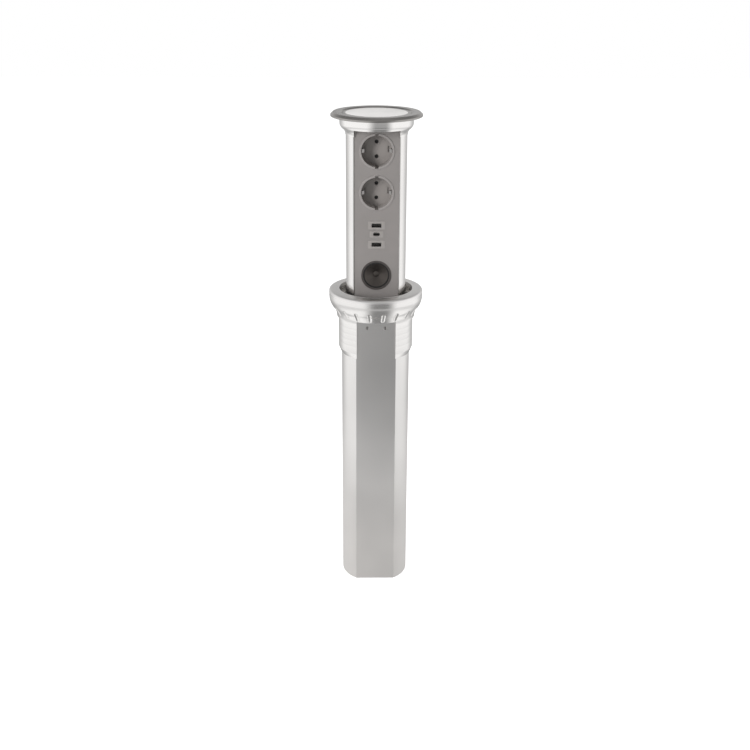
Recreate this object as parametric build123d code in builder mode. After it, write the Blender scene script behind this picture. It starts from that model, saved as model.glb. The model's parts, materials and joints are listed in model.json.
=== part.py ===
from build123d import *
import os
from math import atan, cos, degrees, hypot, radians, sin, tan

os.makedirs("parts", exist_ok=True)

# A socket tower that is pulled up out of a desk. It is drawn raised.
# The frame: +Z is up, the panel faces -Y, and the origin is on the tower's axis at the
# underside of the mounting collar, where the neck enters the hole in the desk.

# Driving sizes of the tower, which is drawn raised
pad_height = 271.0  # face of the charging pad
neck_depth = 18.0  # from there to the underside of the top neck
tower_flat = 25.9  # axis to the flat front edges of the shell
shell_wall = 2.2
shell_lip = 0.95  # edge that shows beside the panel
panel_recess = 1.0  # how far the panel lies behind the shell's front edges
panel_thickness = 2.4
panel_margin = 8.4  # from a socket's flange to the edge of the panel

# Heights on the panel, each counted down from the one above
upper_socket_drop = 27.6
socket_pitch = 53.7
upper_usb_drop = 42.7
usb_c_drop = 11.8
lower_usb_drop = 13.7
speaker_drop = 41.8

# Driving sizes of a mains socket and of the speaker
recess_radius = 20.0
recess_depth = 17.5
pin_pitch = 19.0
flange_side = 1.0  # that the socket's flange reaches past its recess
speaker_trim = 19.9

# Driving sizes of the parts that stay in the desk
sleeve_reach = 6.4  # from the tower's radius to the sleeve's
sleeve_flat_reach = 11.9  # from the tower's flat to the sleeve's
sleeve_wall = 2.2
sleeve_top = 8.0
sleeve_end = -389.0
neck_wall = 4.0
neck_length = 43.5
spigot_wall = 1.8
mouth_margin = 1.0  # from the spigot to the mouth
mouth_height = 39.7
lip_reach = 12.6  # from the neck to the lip

# Fits that several pieces share
running_gap = 0.3  # between the tower and what it slides in
fit_gap = 0.1  # between pieces that are assembled and stay put
screw_gap = 0.1  # around the shank of every screw
overrun = 1.0  # how far a cutter passes the face that it opens

# Screws that several places share
small_screw_radius = 1.25
small_head_radius = 2.3
small_head_height = 1.5
screw_radius = 1.5
head_radius = 2.75
head_height = 2.0
key_radius = 1.2  # of the hexagon socket in a screw's head
key_depth = 1.0

neck_ledge = pad_height - neck_depth
upper_socket = neck_ledge - upper_socket_drop
lower_socket = upper_socket - socket_pitch
socket_heights = (upper_socket, lower_socket)
upper_usb_a = lower_socket - upper_usb_drop
usb_c = upper_usb_a - usb_c_drop
lower_usb_a = usb_c - lower_usb_drop
speaker_height = lower_usb_a - speaker_drop
flange_width = 2 * (recess_radius + flange_side)
pocket_half = flange_width / 2 + panel_margin
tower_radius = hypot(pocket_half + shell_lip, tower_flat)
panel_face = tower_flat - panel_recess
panel_back = panel_face - panel_thickness
sleeve_radius = tower_radius + sleeve_reach
sleeve_flat = tower_flat + sleeve_flat_reach
neck_bore = sleeve_radius + fit_gap
neck_radius = neck_bore + neck_wall
spigot_radius = neck_bore + spigot_wall
mouth_radius = spigot_radius + mouth_margin
lip_radius = neck_radius + lip_reach


def front(depth):
    """The plane facing forward at a depth along Y, where a negative depth is nearer."""
    return Plane.XZ.offset(-depth)


def save(piece, name):
    """Label a finished piece and write it under its own name."""
    piece.part.label = name
    export_step(piece.part, f"parts/{name}.step")


def d_section(radius, flat):
    """Draw a disc with its front cut off flat, in the sketch that is open."""
    Circle(radius)
    with Locations((0, -flat - radius)):
        Rectangle(2 * radius, 2 * radius, mode=Mode.SUBTRACT)


def d_solid(radius, flat, low, high, mode=Mode.ADD):
    """Add or cut a D-shaped prism between two heights, in the part that is open."""
    with BuildSketch(Plane.XY.offset(low)) as section:
        d_section(radius, flat)
    extrude(section.sketch, amount=high - low, mode=mode)


def disc(radius, low, high, mode=Mode.ADD):
    """Add or cut an upright cylinder on the tower's axis, between two heights."""
    with BuildSketch(Plane.XY.offset(low)) as section:
        Circle(radius)
    extrude(section.sketch, amount=high - low, mode=mode)


def block(left, right, near, far, low, high, mode=Mode.ADD):
    """Add or cut a box given by its limits along X, Y and Z."""
    with BuildSketch(Plane.XY.offset(low)) as section:
        with Locations(((left + right) / 2, (near + far) / 2)):
            Rectangle(right - left, far - near)
    extrude(section.sketch, amount=high - low, mode=mode)


def barrel(radius, near, far, spots, mode=Mode.ADD):
    """Add or cut level cylinders along Y at the (x, z) spots, from near to far."""
    with BuildSketch(front(near)) as section:
        with Locations(*spots):
            Circle(radius)
    extrude(section.sketch, amount=near - far, mode=mode)


def upright(radius, low, high, spots, mode=Mode.ADD):
    """Add or cut upright cylinders at the (x, y) spots."""
    with BuildSketch(Plane.XY.offset(low)) as section:
        with Locations(*spots):
            Circle(radius)
    extrude(section.sketch, amount=high - low, mode=mode)


def spoke(radius, inner, outer, angle, height, mode=Mode.ADD):
    """Add or cut a level cylinder along a radius, between two radii."""
    aim = Vector(cos(radians(angle)), sin(radians(angle)), 0)
    with BuildSketch(Plane(aim * inner + Vector(0, 0, height), z_dir=aim)) as section:
        Circle(radius)
    extrude(section.sketch, amount=outer - inner, mode=mode)


def hexagons(plane, spots, depth):
    """Cut hexagon sockets into screw heads, from a plane at the spots on it."""
    with BuildSketch(plane) as section:
        with Locations(*spots):
            RegularPolygon(key_radius, 6)
    extrude(section.sketch, amount=-depth, mode=Mode.SUBTRACT)


def spun(points):
    """Turn a closed outline of (radius, height) points about the tower's axis."""
    with BuildSketch(Plane.XZ) as outline:
        with BuildLine():
            Polyline(*points, close=True)
        make_face()
    revolve(outline.sketch, axis=Axis.Z)


def turned(points, height, mode=Mode.ADD):
    """Turn a closed outline of (radius, depth) points about a level axis along Y."""
    with BuildSketch(Plane.XY.offset(height)) as outline:
        with BuildLine():
            Polyline(*points, close=True)
        make_face()
    revolve(outline.sketch, axis=Axis((0, 0, height), (0, 1, 0)), mode=mode)


def on_circle(radius, angles):
    """The (x, y) spots at the angles on a circle about the axis."""
    return [(radius * cos(radians(a)), radius * sin(radians(a))) for a in angles]


def bend_between(side, rise):
    """The angle at which two tangent arcs step sideways between two upright ends."""
    return 2 * degrees(atan(side / rise))


# Mounting collar

bell_rise_share = 0.705  # of the collar's height, from the underside to the upright lip
bell_share = 0.55  # of the two bell radii together, in the upper one
foot_reach = 2.4  # that the collar's foot rests on the desk, past the neck
lip_edge = 3.0
top_slope = 12.0  # degrees that the top face falls outwards
mouth_chamfer = 0.6
shelf_top = 16.0
shelf_bottom = 12.0
shelf_step = 1.8  # from the sleeve's radius in to the shelf
slot_count = 20
slot_width = 6.0
slot_low = 4.5
slot_high = 18.0
slot_depth = 1.2
window_width = 52.0
window_top = 3.5
grub_height = 4.0
grub_key_radius = 0.9

bell_height = bell_rise_share * mouth_height
shelf_radius = sleeve_radius - shelf_step
foot_rim = neck_radius + foot_reach
bell_bend = bend_between(lip_radius - foot_rim, bell_height)
bell_radii = bell_height / sin(radians(bell_bend))
bell_radius = bell_share * bell_radii
cove_radius = bell_radii - bell_radius
lip_turn = 90 - top_slope
edge_reach = lip_edge * (1 - cos(radians(lip_turn)))
top_fall = (lip_radius - edge_reach - mouth_radius) * tan(radians(top_slope))
lip_height = mouth_height - top_fall - lip_edge * sin(radians(lip_turn))
collar_bore = spigot_radius + fit_gap


def bell_line(inset):
    """Draw the bell from the underside up to its lip, and return its two ends."""
    cove = JernArc((foot_rim - inset, 0), (0, 1), cove_radius, -bell_bend)
    bell = JernArc(cove @ 1, cove % 1, bell_radius, bell_bend)
    lip = Line(bell @ 1, (lip_radius - inset, lip_height))
    return cove @ 0, lip @ 1


with BuildPart() as slot_cutter:
    with BuildSketch(Plane.XY.offset(slot_low)):
        with PolarLocations(lip_radius, slot_count, start_angle=180 / slot_count - 90):
            Rectangle(lip_radius, slot_width)
    extrude(amount=slot_high - slot_low)
    with BuildSketch(Plane.XZ) as core:
        with BuildLine():
            foot_end, lip_end = bell_line(slot_depth)
            Polyline(lip_end, (0, lip_height), (0, 0), foot_end)
        make_face()
    revolve(core.sketch, axis=Axis.Z, mode=Mode.SUBTRACT)

with BuildPart() as mounting_collar:
    with BuildSketch(Plane.XZ) as outline:
        with BuildLine():
            foot_end, lip_end = bell_line(0)
            edge = JernArc(lip_end, (0, 1), lip_edge, lip_turn)
            Polyline(
                edge @ 1,
                (mouth_radius, mouth_height),
                (mouth_radius, shelf_top),
                (shelf_radius, shelf_top),
                (shelf_radius, shelf_bottom),
                (collar_bore, shelf_bottom),
                (collar_bore, 0),
                foot_end,
            )
        make_face()
    revolve(outline.sketch, axis=Axis.Z)
    mouth_edges = edges().filter_by(GeomType.CIRCLE).group_by(Axis.Z)[-1]
    chamfer(mouth_edges.sort_by(SortBy.RADIUS)[0], mouth_chamfer)
    add(slot_cutter.part, mode=Mode.SUBTRACT)
    block(-window_width / 2, window_width / 2, -lip_radius, 0, 0, window_top, mode=Mode.SUBTRACT)
    barrel(screw_radius + screw_gap, 0, lip_radius, [(0, grub_height)], mode=Mode.SUBTRACT)
save(mounting_collar, "mounting_collar")

# The grub screw runs from the sleeve to the face of the bell, at the back
grub_end = foot_rim + cove_radius - (cove_radius**2 - grub_height**2) ** 0.5
with BuildPart() as collar_grub_screw:
    barrel(screw_radius, sleeve_radius, grub_end, [(0, grub_height)])
    with BuildSketch(front(grub_end)) as key:
        with Locations((0, grub_height)):
            RegularPolygon(grub_key_radius, 6)
    extrude(key.sketch, amount=key_depth, mode=Mode.SUBTRACT)
save(collar_grub_screw, "collar_grub_screw")

# Neck that passes through the desk, with its window and clamping grooves

neck_taper = 7.5  # length of the tapered foot
neck_foot_wall = 0.7
groove_first = 9.0
groove_pitch = 8.0
groove_count = 4
groove_width = 1.2
groove_depth = 0.2
neck_foot = neck_length + neck_taper

with BuildPart() as threaded_neck:
    spun(
        [
            (neck_bore, sleeve_top),
            (spigot_radius, sleeve_top),
            (spigot_radius, 0),
            (neck_radius, 0),
            (neck_radius, -neck_length),
            (neck_bore + neck_foot_wall, -neck_foot),
            (neck_bore, -neck_foot),
        ]
    )
    for groove in range(groove_count):
        groove_top = -groove_first - groove * groove_pitch
        with BuildSketch(Plane.XY.offset(groove_top - groove_width)) as ring:
            Circle(neck_radius + overrun)
            Circle(neck_radius - groove_depth, mode=Mode.SUBTRACT)
        extrude(ring.sketch, amount=groove_width, mode=Mode.SUBTRACT)
    block(-window_width / 2, window_width / 2, -lip_radius, 0, -neck_foot - overrun, window_top,
          mode=Mode.SUBTRACT)
    barrel(screw_radius + screw_gap, 0, lip_radius, [(0, grub_height)], mode=Mode.SUBTRACT)
save(threaded_neck, "threaded_neck")

# Outer sleeve, one drawn tube with a flat front

sleeve_bore = sleeve_radius - sleeve_wall
sleeve_bore_flat = sleeve_flat - sleeve_wall
strip_screw_x = 12.0
strip_screw_height = -8.0
strip_screw_length = 8.0
base_screw_length = 5.0
base_screw_rise = 6.0  # above the sleeve's lower end
base_screw_angles = (30, 90, 150)  # from +X, all behind the flat
base_screw_height = sleeve_end + base_screw_rise
strip_spots = [(-strip_screw_x, strip_screw_height), (strip_screw_x, strip_screw_height)]

with BuildPart() as outer_sleeve:
    d_solid(sleeve_radius, sleeve_flat, sleeve_end, sleeve_top)
    d_solid(sleeve_bore, sleeve_bore_flat, sleeve_end, sleeve_top, mode=Mode.SUBTRACT)
    barrel(small_screw_radius + screw_gap, -sleeve_radius, 0, strip_spots, mode=Mode.SUBTRACT)
    for angle in base_screw_angles:
        spoke(screw_radius + screw_gap, 0, sleeve_radius + overrun, angle, base_screw_height,
              mode=Mode.SUBTRACT)
save(outer_sleeve, "outer_sleeve")

with BuildPart() as sleeve_screws:
    barrel(small_screw_radius, -sleeve_flat, strip_screw_length - sleeve_flat, strip_spots)
    barrel(small_head_radius, -sleeve_flat - small_head_height, -sleeve_flat, strip_spots)
    hexagons(front(-sleeve_flat - small_head_height), strip_spots, key_depth)
save(sleeve_screws, "sleeve_screws")

# Guide bush, clamped between the collar's shelf and the ends of neck and sleeve

bush_gap = 0.2
bush_end = -20.0
bush_radius = sleeve_bore - bush_gap
bush_flat = sleeve_bore_flat - bush_gap
guide_radius = tower_radius + running_gap
guide_flat = tower_flat + running_gap
wiper_height = 3.5
brake_height = 7.0
retainer_height = 3.0
retainer_screw_grip = 8.0  # length in the bush
retainer_screw_pitch = 18.0
brake_end = bush_end - brake_height
retainer_end = brake_end - retainer_height
tower_end = retainer_end - running_gap
retainer_row = -(guide_flat + bush_flat) / 2
retainer_spots = [(x * retainer_screw_pitch, retainer_row) for x in (-1, 0, 1)]


def guide_opening(low, high):
    """Cut the D-shaped way that the tower slides in."""
    d_solid(guide_radius, guide_flat, low, high, mode=Mode.SUBTRACT)


with BuildPart() as guide_bush:
    disc(spigot_radius, sleeve_top, shelf_bottom)
    d_solid(bush_radius, bush_flat, bush_end, sleeve_top)
    guide_opening(bush_end, shelf_bottom)
    barrel(small_screw_radius + screw_gap, -sleeve_radius,
           strip_screw_length - sleeve_flat + fit_gap, strip_spots, mode=Mode.SUBTRACT)
    upright(small_screw_radius + screw_gap, bush_end, bush_end + retainer_screw_grip + fit_gap,
            retainer_spots, mode=Mode.SUBTRACT)
save(guide_bush, "guide_bush")

with BuildPart() as wiper_ring:
    disc(shelf_radius - fit_gap, shelf_bottom, shelf_bottom + wiper_height)
    guide_opening(shelf_bottom, shelf_bottom + wiper_height)
save(wiper_ring, "wiper_ring")

with BuildPart() as brake_ring:
    d_solid(bush_radius, bush_flat, brake_end, bush_end)
    guide_opening(brake_end, bush_end)
    upright(small_screw_radius + screw_gap, brake_end, bush_end, retainer_spots,
            mode=Mode.SUBTRACT)
save(brake_ring, "brake_ring")

with BuildPart() as brake_retainer:
    d_solid(bush_radius, bush_flat, retainer_end, brake_end)
    guide_opening(retainer_end, brake_end)
    upright(small_screw_radius + screw_gap, retainer_end, brake_end, retainer_spots,
            mode=Mode.SUBTRACT)
    upright(small_head_radius + screw_gap, retainer_end, retainer_end + small_head_height,
            retainer_spots, mode=Mode.SUBTRACT)
save(brake_retainer, "brake_retainer")

with BuildPart() as retainer_screws:
    upright(small_screw_radius, retainer_end, bush_end + retainer_screw_grip, retainer_spots)
    upright(small_head_radius, retainer_end, retainer_end + small_head_height, retainer_spots)
    hexagons(Plane.XY.offset(retainer_end).reverse(),
             [(x, -y) for x, y in retainer_spots], key_depth)
save(retainer_screws, "retainer_screws")

# Bottom cap with the cable outlet in a well

base_plate = 3.0
base_edge = 1.6
base_skirt = 12.0
base_skirt_wall = 2.4
well_radius = 16.0
well_depth = 3.5
grommet_radius = 10.0
grommet_neck = 7.0
grommet_flange = 1.5
cable_radius = 4.5
base_end = sleeve_end - base_plate
well_roof = base_end + well_depth
well_floor = well_roof + base_plate
skirt_radius = sleeve_bore - fit_gap
skirt_flat = sleeve_bore_flat - fit_gap
skirt_top = sleeve_end + base_skirt

with BuildPart() as bottom_cap:
    d_solid(sleeve_radius, sleeve_flat, base_end, sleeve_end)
    fillet(edges().group_by(Axis.Z)[0], base_edge)
    d_solid(skirt_radius, skirt_flat, sleeve_end, skirt_top)
    d_solid(skirt_radius - base_skirt_wall, skirt_flat - base_skirt_wall, sleeve_end, skirt_top,
            mode=Mode.SUBTRACT)
    disc(well_radius + base_plate, sleeve_end, well_floor)
    disc(well_radius, base_end, well_roof, mode=Mode.SUBTRACT)
    disc(grommet_neck, well_roof, well_floor, mode=Mode.SUBTRACT)
    for angle in base_screw_angles:
        spoke(screw_radius + screw_gap, well_radius + base_plate, sleeve_radius, angle,
              base_screw_height, mode=Mode.SUBTRACT)
save(bottom_cap, "bottom_cap")

with BuildPart() as bottom_cap_screws:
    for angle in base_screw_angles:
        spoke(screw_radius, sleeve_radius - base_screw_length, sleeve_radius, angle,
              base_screw_height)
        spoke(head_radius, sleeve_radius, sleeve_radius + head_height, angle, base_screw_height)
        spoke(key_radius, sleeve_radius + key_depth, sleeve_radius + head_height, angle,
              base_screw_height, mode=Mode.SUBTRACT)
save(bottom_cap_screws, "bottom_cap_screws")

with BuildPart() as cable_grommet:
    spun(
        [
            (cable_radius, well_roof - grommet_flange),
            (grommet_radius, well_roof - grommet_flange),
            (grommet_radius, well_roof),
            (grommet_neck, well_roof),
            (grommet_neck, well_floor),
            (grommet_radius, well_floor),
            (grommet_radius, well_floor + grommet_flange),
            (cable_radius, well_floor + grommet_flange),
        ]
    )
save(cable_grommet, "cable_grommet")

# Cap: bevelled rim and charging pad

drum_gap = 1.2  # between the drum and the collar's mouth, when the tower is down
drum_wall = 3.5
rim_reach = 11.5  # from the drum to the rim's edge
rim_crest = 1.0  # above the pad
rim_crest_inset = 2.4  # from the pad's edge
rim_bevel_inset = 3.2  # from the rim's edge
rim_bevel = 2.0  # drop from the pad's face to the rim's edge
rim_edge = 2.0
rim_under_inset = 1.2
rim_drop = 4.6  # from the pad's face to the rim's underside
rim_lead = 0.3  # below the pad's face at the pad's edge
pad_thickness = 3.0
pad_edge = 0.3
pad_trim_width = 4.2  # of the metal ring let into the pad's edge
pad_trim_height = 0.6
pad_gap = 0.2
skirt_wall = 5.4
neck_floor_thickness = 5.0
rim_screw_grip = 4.0  # length in the neck's floor
square_angles = (45, 135, 225, 315)
drum_radius = mouth_radius - drum_gap
drum_bore = drum_radius - drum_wall
rim_radius = drum_radius + rim_reach
rim_skirt = drum_bore - fit_gap
skirt_inner = rim_skirt - skirt_wall
rim_screw_circle = (skirt_inner + rim_skirt) / 2
pad_radius = drum_bore + fit_gap
rim_crest_inner = pad_radius + rim_crest_inset
rim_crest_outer = rim_radius - rim_bevel_inset
rim_under_radius = rim_radius - rim_under_inset
pad_seat = pad_height - pad_thickness
pad_shoulder = pad_height - pad_trim_height
pad_face_radius = pad_radius - pad_trim_width
drum_top = pad_height - rim_drop
neck_floor = neck_ledge + neck_floor_thickness
rim_screw_spots = on_circle(rim_screw_circle, square_angles)

with BuildPart() as cap_rim:
    spun(
        [
            (skirt_inner, pad_seat),
            (pad_radius + pad_gap, pad_seat),
            (pad_radius + pad_gap, pad_height - rim_lead),
            (rim_crest_inner, pad_height + rim_crest),
            (rim_crest_outer, pad_height + rim_crest),
            (rim_radius, pad_height - rim_bevel),
            (rim_radius, pad_height - rim_bevel - rim_edge),
            (rim_under_radius, drum_top),
            (rim_skirt, drum_top),
            (rim_skirt, neck_floor),
            (skirt_inner, neck_floor),
        ]
    )
    upright(small_screw_radius + screw_gap, neck_floor, pad_seat, rim_screw_spots,
            mode=Mode.SUBTRACT)
    upright(small_head_radius + screw_gap, pad_seat - small_head_height, pad_seat,
            rim_screw_spots, mode=Mode.SUBTRACT)
save(cap_rim, "cap_rim")

with BuildPart() as charging_pad:
    disc(pad_radius, pad_seat, pad_shoulder)
    disc(pad_face_radius, pad_shoulder, pad_height)
    fillet(edges().group_by(Axis.Z)[-1], pad_edge)
save(charging_pad, "charging_pad")

with BuildPart() as pad_trim_ring:
    disc(pad_radius, pad_shoulder, pad_height)
    disc(pad_face_radius + fit_gap, pad_shoulder, pad_height, mode=Mode.SUBTRACT)
save(pad_trim_ring, "pad_trim_ring")

with BuildPart() as rim_screws:
    upright(small_screw_radius, neck_floor - rim_screw_grip, pad_seat - small_head_height,
            rim_screw_spots)
    upright(small_head_radius, pad_seat - small_head_height, pad_seat, rim_screw_spots)
    hexagons(Plane.XY.offset(pad_seat), rim_screw_spots, key_depth)
save(rim_screws, "rim_screws")

# Wireless charger, stacked under the pad

coil_outer = 22.0
coil_inner = 9.0
coil_height = 1.2
ferrite_radius = 24.0
ferrite_height = 1.2
carrier_height = 1.6
carrier_gap = 0.5  # between the carrier and the rim's skirt
carrier_leg_radius = 2.0
board_radius = 30.0
board_height = 1.6
board_post_radius = 2.0
board_post_height = 2.0
board_post_inset = 3.0
part_size = 5.0
part_height = 1.0
carrier_radius = skirt_inner - carrier_gap
board_post_circle = board_radius - board_post_inset
coil_top = pad_seat - pad_gap
ferrite_top = coil_top - coil_height
carrier_top = ferrite_top - ferrite_height
carrier_bottom = carrier_top - carrier_height
board_bottom = neck_floor + board_post_height
board_top = board_bottom + board_height
post_spots = on_circle(board_post_circle, square_angles)

with BuildPart() as charging_coil:
    disc(coil_outer, ferrite_top, coil_top)
    disc(coil_inner, ferrite_top, coil_top, mode=Mode.SUBTRACT)
save(charging_coil, "charging_coil")

with BuildPart() as ferrite_disc:
    disc(ferrite_radius, carrier_top, ferrite_top)
save(ferrite_disc, "ferrite_disc")

with BuildPart() as coil_carrier:
    disc(carrier_radius, carrier_bottom, carrier_top)
    disc(coil_inner, carrier_bottom, carrier_top, mode=Mode.SUBTRACT)
    upright(carrier_leg_radius, board_top, carrier_bottom, post_spots)
save(coil_carrier, "coil_carrier")

with BuildPart() as charging_board:
    disc(board_radius, board_bottom, board_top)
    with BuildSketch(Plane.XY.offset(board_top)):
        with GridLocations(2 * part_size, 2 * part_size, 3, 3):
            Rectangle(part_size, part_size)
    extrude(amount=part_height)
save(charging_board, "charging_board")

# Top neck: drum, funnel, and the skirt that the shell slides into

drum_length = 7.8
funnel_lap = 9.0  # that the funnel's skirt reaches over the shell
funnel_skirt = 0.5  # wall at the funnel's lower edge
shell_screw_grip = 12.0
wire_hole = 6.0
shell_boss_angles = (-20, 55, 125, 200)
shell_boss_inset = 3.3  # from the shell's bore to the centre of a screw channel
shell_bore = tower_radius - shell_wall
shell_boss_circle = shell_bore - shell_boss_inset
funnel_bottom = neck_ledge - funnel_lap
shell_boss_spots = on_circle(shell_boss_circle, shell_boss_angles)
funnel_end_radius = tower_radius + fit_gap + funnel_skirt
funnel_top = drum_top - drum_length
funnel_height = funnel_top - funnel_bottom
funnel_bend = bend_between(drum_radius - funnel_end_radius, funnel_height)
funnel_radius = funnel_height / sin(radians(funnel_bend)) / 2

with BuildPart() as top_neck:
    with BuildSketch(Plane.XZ) as outline:
        with BuildLine():
            waist = JernArc((funnel_end_radius, funnel_bottom), (0, 1), funnel_radius, -funnel_bend)
            flare = JernArc(waist @ 1, waist % 1, funnel_radius, funnel_bend)
            Polyline(
                flare @ 1,
                (drum_radius, drum_top),
                (drum_bore, drum_top),
                (drum_bore, neck_floor),
                (0, neck_floor),
                (0, neck_ledge),
                (tower_radius + fit_gap, neck_ledge),
                (tower_radius + fit_gap, funnel_bottom),
                waist @ 0,
            )
        make_face()
    revolve(outline.sketch, axis=Axis.Z)
    block(-pocket_half, pocket_half, -drum_radius, -tower_flat, funnel_bottom, neck_ledge,
          mode=Mode.SUBTRACT)
    upright(board_post_radius, neck_floor, board_bottom, post_spots)
    disc(wire_hole, neck_ledge, neck_floor, mode=Mode.SUBTRACT)
    upright(screw_radius + screw_gap, neck_ledge, neck_floor, shell_boss_spots,
            mode=Mode.SUBTRACT)
    upright(small_screw_radius + screw_gap, neck_floor - rim_screw_grip - fit_gap, neck_floor,
            rim_screw_spots, mode=Mode.SUBTRACT)
save(top_neck, "top_neck")

with BuildPart() as neck_screws:
    upright(screw_radius, neck_ledge - shell_screw_grip, neck_floor, shell_boss_spots)
    upright(head_radius, neck_floor, neck_floor + head_height, shell_boss_spots)
    hexagons(Plane.XY.offset(neck_floor + head_height), shell_boss_spots, key_depth)
save(neck_screws, "neck_screws")

# Tower shell, one extrusion with grooves for the panel and four screw channels

rail_gap = 2.4  # between the two channel sides that carry the panel, inside the lips
rail_thickness = 2.7
shell_boss_radius = 3.8
channel_half = pocket_half - rail_gap
rail_back = panel_back - rail_thickness

with BuildPart() as tower_shell:
    d_solid(tower_radius, tower_flat, tower_end, neck_ledge)
    with BuildSketch(Plane.XY.offset(tower_end)) as hollow:
        d_section(shell_bore, rail_back)
        with Locations(*shell_boss_spots):
            Circle(shell_boss_radius, mode=Mode.SUBTRACT)
    extrude(hollow.sketch, amount=neck_ledge - tower_end, mode=Mode.SUBTRACT)
    block(-channel_half, channel_half, -panel_back, -rail_back, tower_end, neck_ledge,
          mode=Mode.SUBTRACT)
    block(-pocket_half, pocket_half, -tower_flat, -panel_back, tower_end, neck_ledge,
          mode=Mode.SUBTRACT)
    upright(screw_radius + screw_gap, tower_end, neck_ledge, shell_boss_spots, mode=Mode.SUBTRACT)
save(tower_shell, "tower_shell")

# Sockets: the sizes that ring, body, carrier and panel share

ring_width = 2.9
ring_proud = 0.8
ring_edge = 0.4
ring_collar = 1.1
key_notch_width = 4.6
key_notch_depth = 2.1
body_wall = 1.7
notch_wall = 1.4
flange_rise = 0.4  # that the flange is higher than wide, at the top and at the bottom
flange_thickness = 3.0
corner_inset_x = 3.5
corner_inset_z = 2.7
corner_post_radius = 3.2
pin_hole_radius = 2.6
clip_slot = 5.6
shutter_pocket_reach = 4.5  # from a pin's axis to the pocket's wall
shutter_pocket_depth = 2.0
ring_radius = recess_radius + ring_width
body_radius = recess_radius + body_wall
key_notch_reach = recess_radius + key_notch_depth
flange_height = flange_width + 2 * flange_rise
corner_x = flange_width / 2 - corner_inset_x
corner_z = flange_height / 2 - corner_inset_z
shutter_pocket_radius = pin_pitch / 2 + shutter_pocket_reach
recess_floor = recess_depth - panel_face
flange_near = recess_floor
flange_far = flange_near + flange_thickness
body_back = flange_far + shutter_pocket_depth
ring_face = -panel_face - ring_proud
hole_radius = recess_radius + ring_collar + fit_gap


def corner_spots(height):
    """The (x, z) spots of the four screws of one socket."""
    return [(x, height + z) for x in (-corner_x, corner_x) for z in (-corner_z, corner_z)]


def pin_spots(height):
    """The (x, z) spots of the two pins of one socket."""
    return [(0, height - pin_pitch / 2), (0, height + pin_pitch / 2)]


def key_notches(height, reach, width, near, far, mode):
    """Add or cut the upright bar that makes the notches at the top and bottom."""
    block(-width / 2, width / 2, near, far, height - reach, height + reach, mode=mode)


# USB openings and bezels

bezel_a = (22.0, 10.6)
bezel_c = (18.0, 8.4)
bezel_corner = 1.4
bezel_proud = 0.5
bezel_insert = 1.2  # narrower on each side where it passes the panel
shell_a = (13.1, 5.7)
shell_c = (9.0, 3.3)
relief_c = (0.1, 0.8)  # that the type C opening is wider and higher on each side than its port
usb_shell_wall = 0.35
usb_depth = 12.0
usb_lip = 0.3  # that the metal shell lies behind the bezel's face
tongue_a = (11.1, 1.9)
tongue_c = (6.7, 0.7)
tongue_lift = 1.1  # of the type A tongue above its centre
tongue_back = 3.0  # of the tongue's tip behind the bezel's face
usb_ports = ((upper_usb_a, bezel_a, shell_a), (usb_c, bezel_c, shell_c),
             (lower_usb_a, bezel_a, shell_a))
bezel_face = -panel_face - bezel_proud
usb_near = bezel_face + usb_lip
usb_board_near = usb_near + usb_depth

# Speaker opening

trim_lap = 0.9  # of the trim ring over the panel
speaker_proud = 0.7
speaker_frame = speaker_trim - trim_lap

# Front panel with the posts that carry the sockets and boards

panel_side_gap = 0.1
usb_board_width = 38.0
usb_board_margin = 11.0  # above the upper port and below the lower one
usb_post_inset = 3.5
usb_post_radius = 2.6
amp_board_width = 50.0
amp_board_height = 52.0
amp_post_inset_x = 3.0
amp_post_inset_z = 4.0
amp_post_radius = 2.6
amp_board_depth = 30.9  # of its front, behind the panel's face
usb_post_x = usb_board_width / 2 - usb_post_inset
usb_board_low = lower_usb_a - usb_board_margin
usb_board_high = upper_usb_a + usb_board_margin
amp_post_x = amp_board_width / 2 - amp_post_inset_x
amp_board_low = speaker_height - amp_board_height / 2
amp_board_high = speaker_height + amp_board_height / 2
amp_board_near = amp_board_depth - panel_face
usb_post_spots = [(x, z) for x in (-usb_post_x, usb_post_x)
                  for z in (usb_board_low + usb_post_inset, usb_board_high - usb_post_inset)]
amp_post_spots = [(x, z) for x in (-amp_post_x, amp_post_x)
                  for z in (amp_board_low + amp_post_inset_z, amp_board_high - amp_post_inset_z)]
panel_half = pocket_half - panel_side_gap
panel_top = neck_ledge - fit_gap

with BuildPart() as front_panel:
    block(-panel_half, panel_half, -panel_face, -panel_back, tower_end, panel_top)
    barrel(hole_radius, -panel_face, -panel_back, [(0, z) for z in socket_heights],
           mode=Mode.SUBTRACT)
    for height in socket_heights:
        key_notches(height, key_notch_reach, key_notch_width, -panel_face, -panel_back,
                    Mode.SUBTRACT)
        barrel(corner_post_radius, -panel_back, flange_near, corner_spots(height))
        barrel(screw_radius + screw_gap, -panel_back, flange_near, corner_spots(height),
               mode=Mode.SUBTRACT)
    for height, bezel, shell in usb_ports:
        with BuildSketch(front(-panel_face)) as opening:
            with Locations((0, height)):
                Rectangle(bezel[0] - 2 * bezel_insert + fit_gap,
                          bezel[1] - 2 * bezel_insert + fit_gap)
        extrude(opening.sketch, amount=-panel_thickness, mode=Mode.SUBTRACT)
    barrel(speaker_frame + fit_gap, -panel_face, -panel_back, [(0, speaker_height)],
           mode=Mode.SUBTRACT)
    barrel(usb_post_radius, -panel_back, usb_board_near, usb_post_spots)
    barrel(small_screw_radius + screw_gap, -panel_back, usb_board_near, usb_post_spots,
           mode=Mode.SUBTRACT)
    barrel(amp_post_radius, -panel_back, amp_board_near, amp_post_spots)
    barrel(small_screw_radius + screw_gap, -panel_back, amp_board_near, amp_post_spots,
           mode=Mode.SUBTRACT)
save(front_panel, "front_panel")

# Socket rings, bodies, earth brackets, contacts, carriers and shutters

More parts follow.
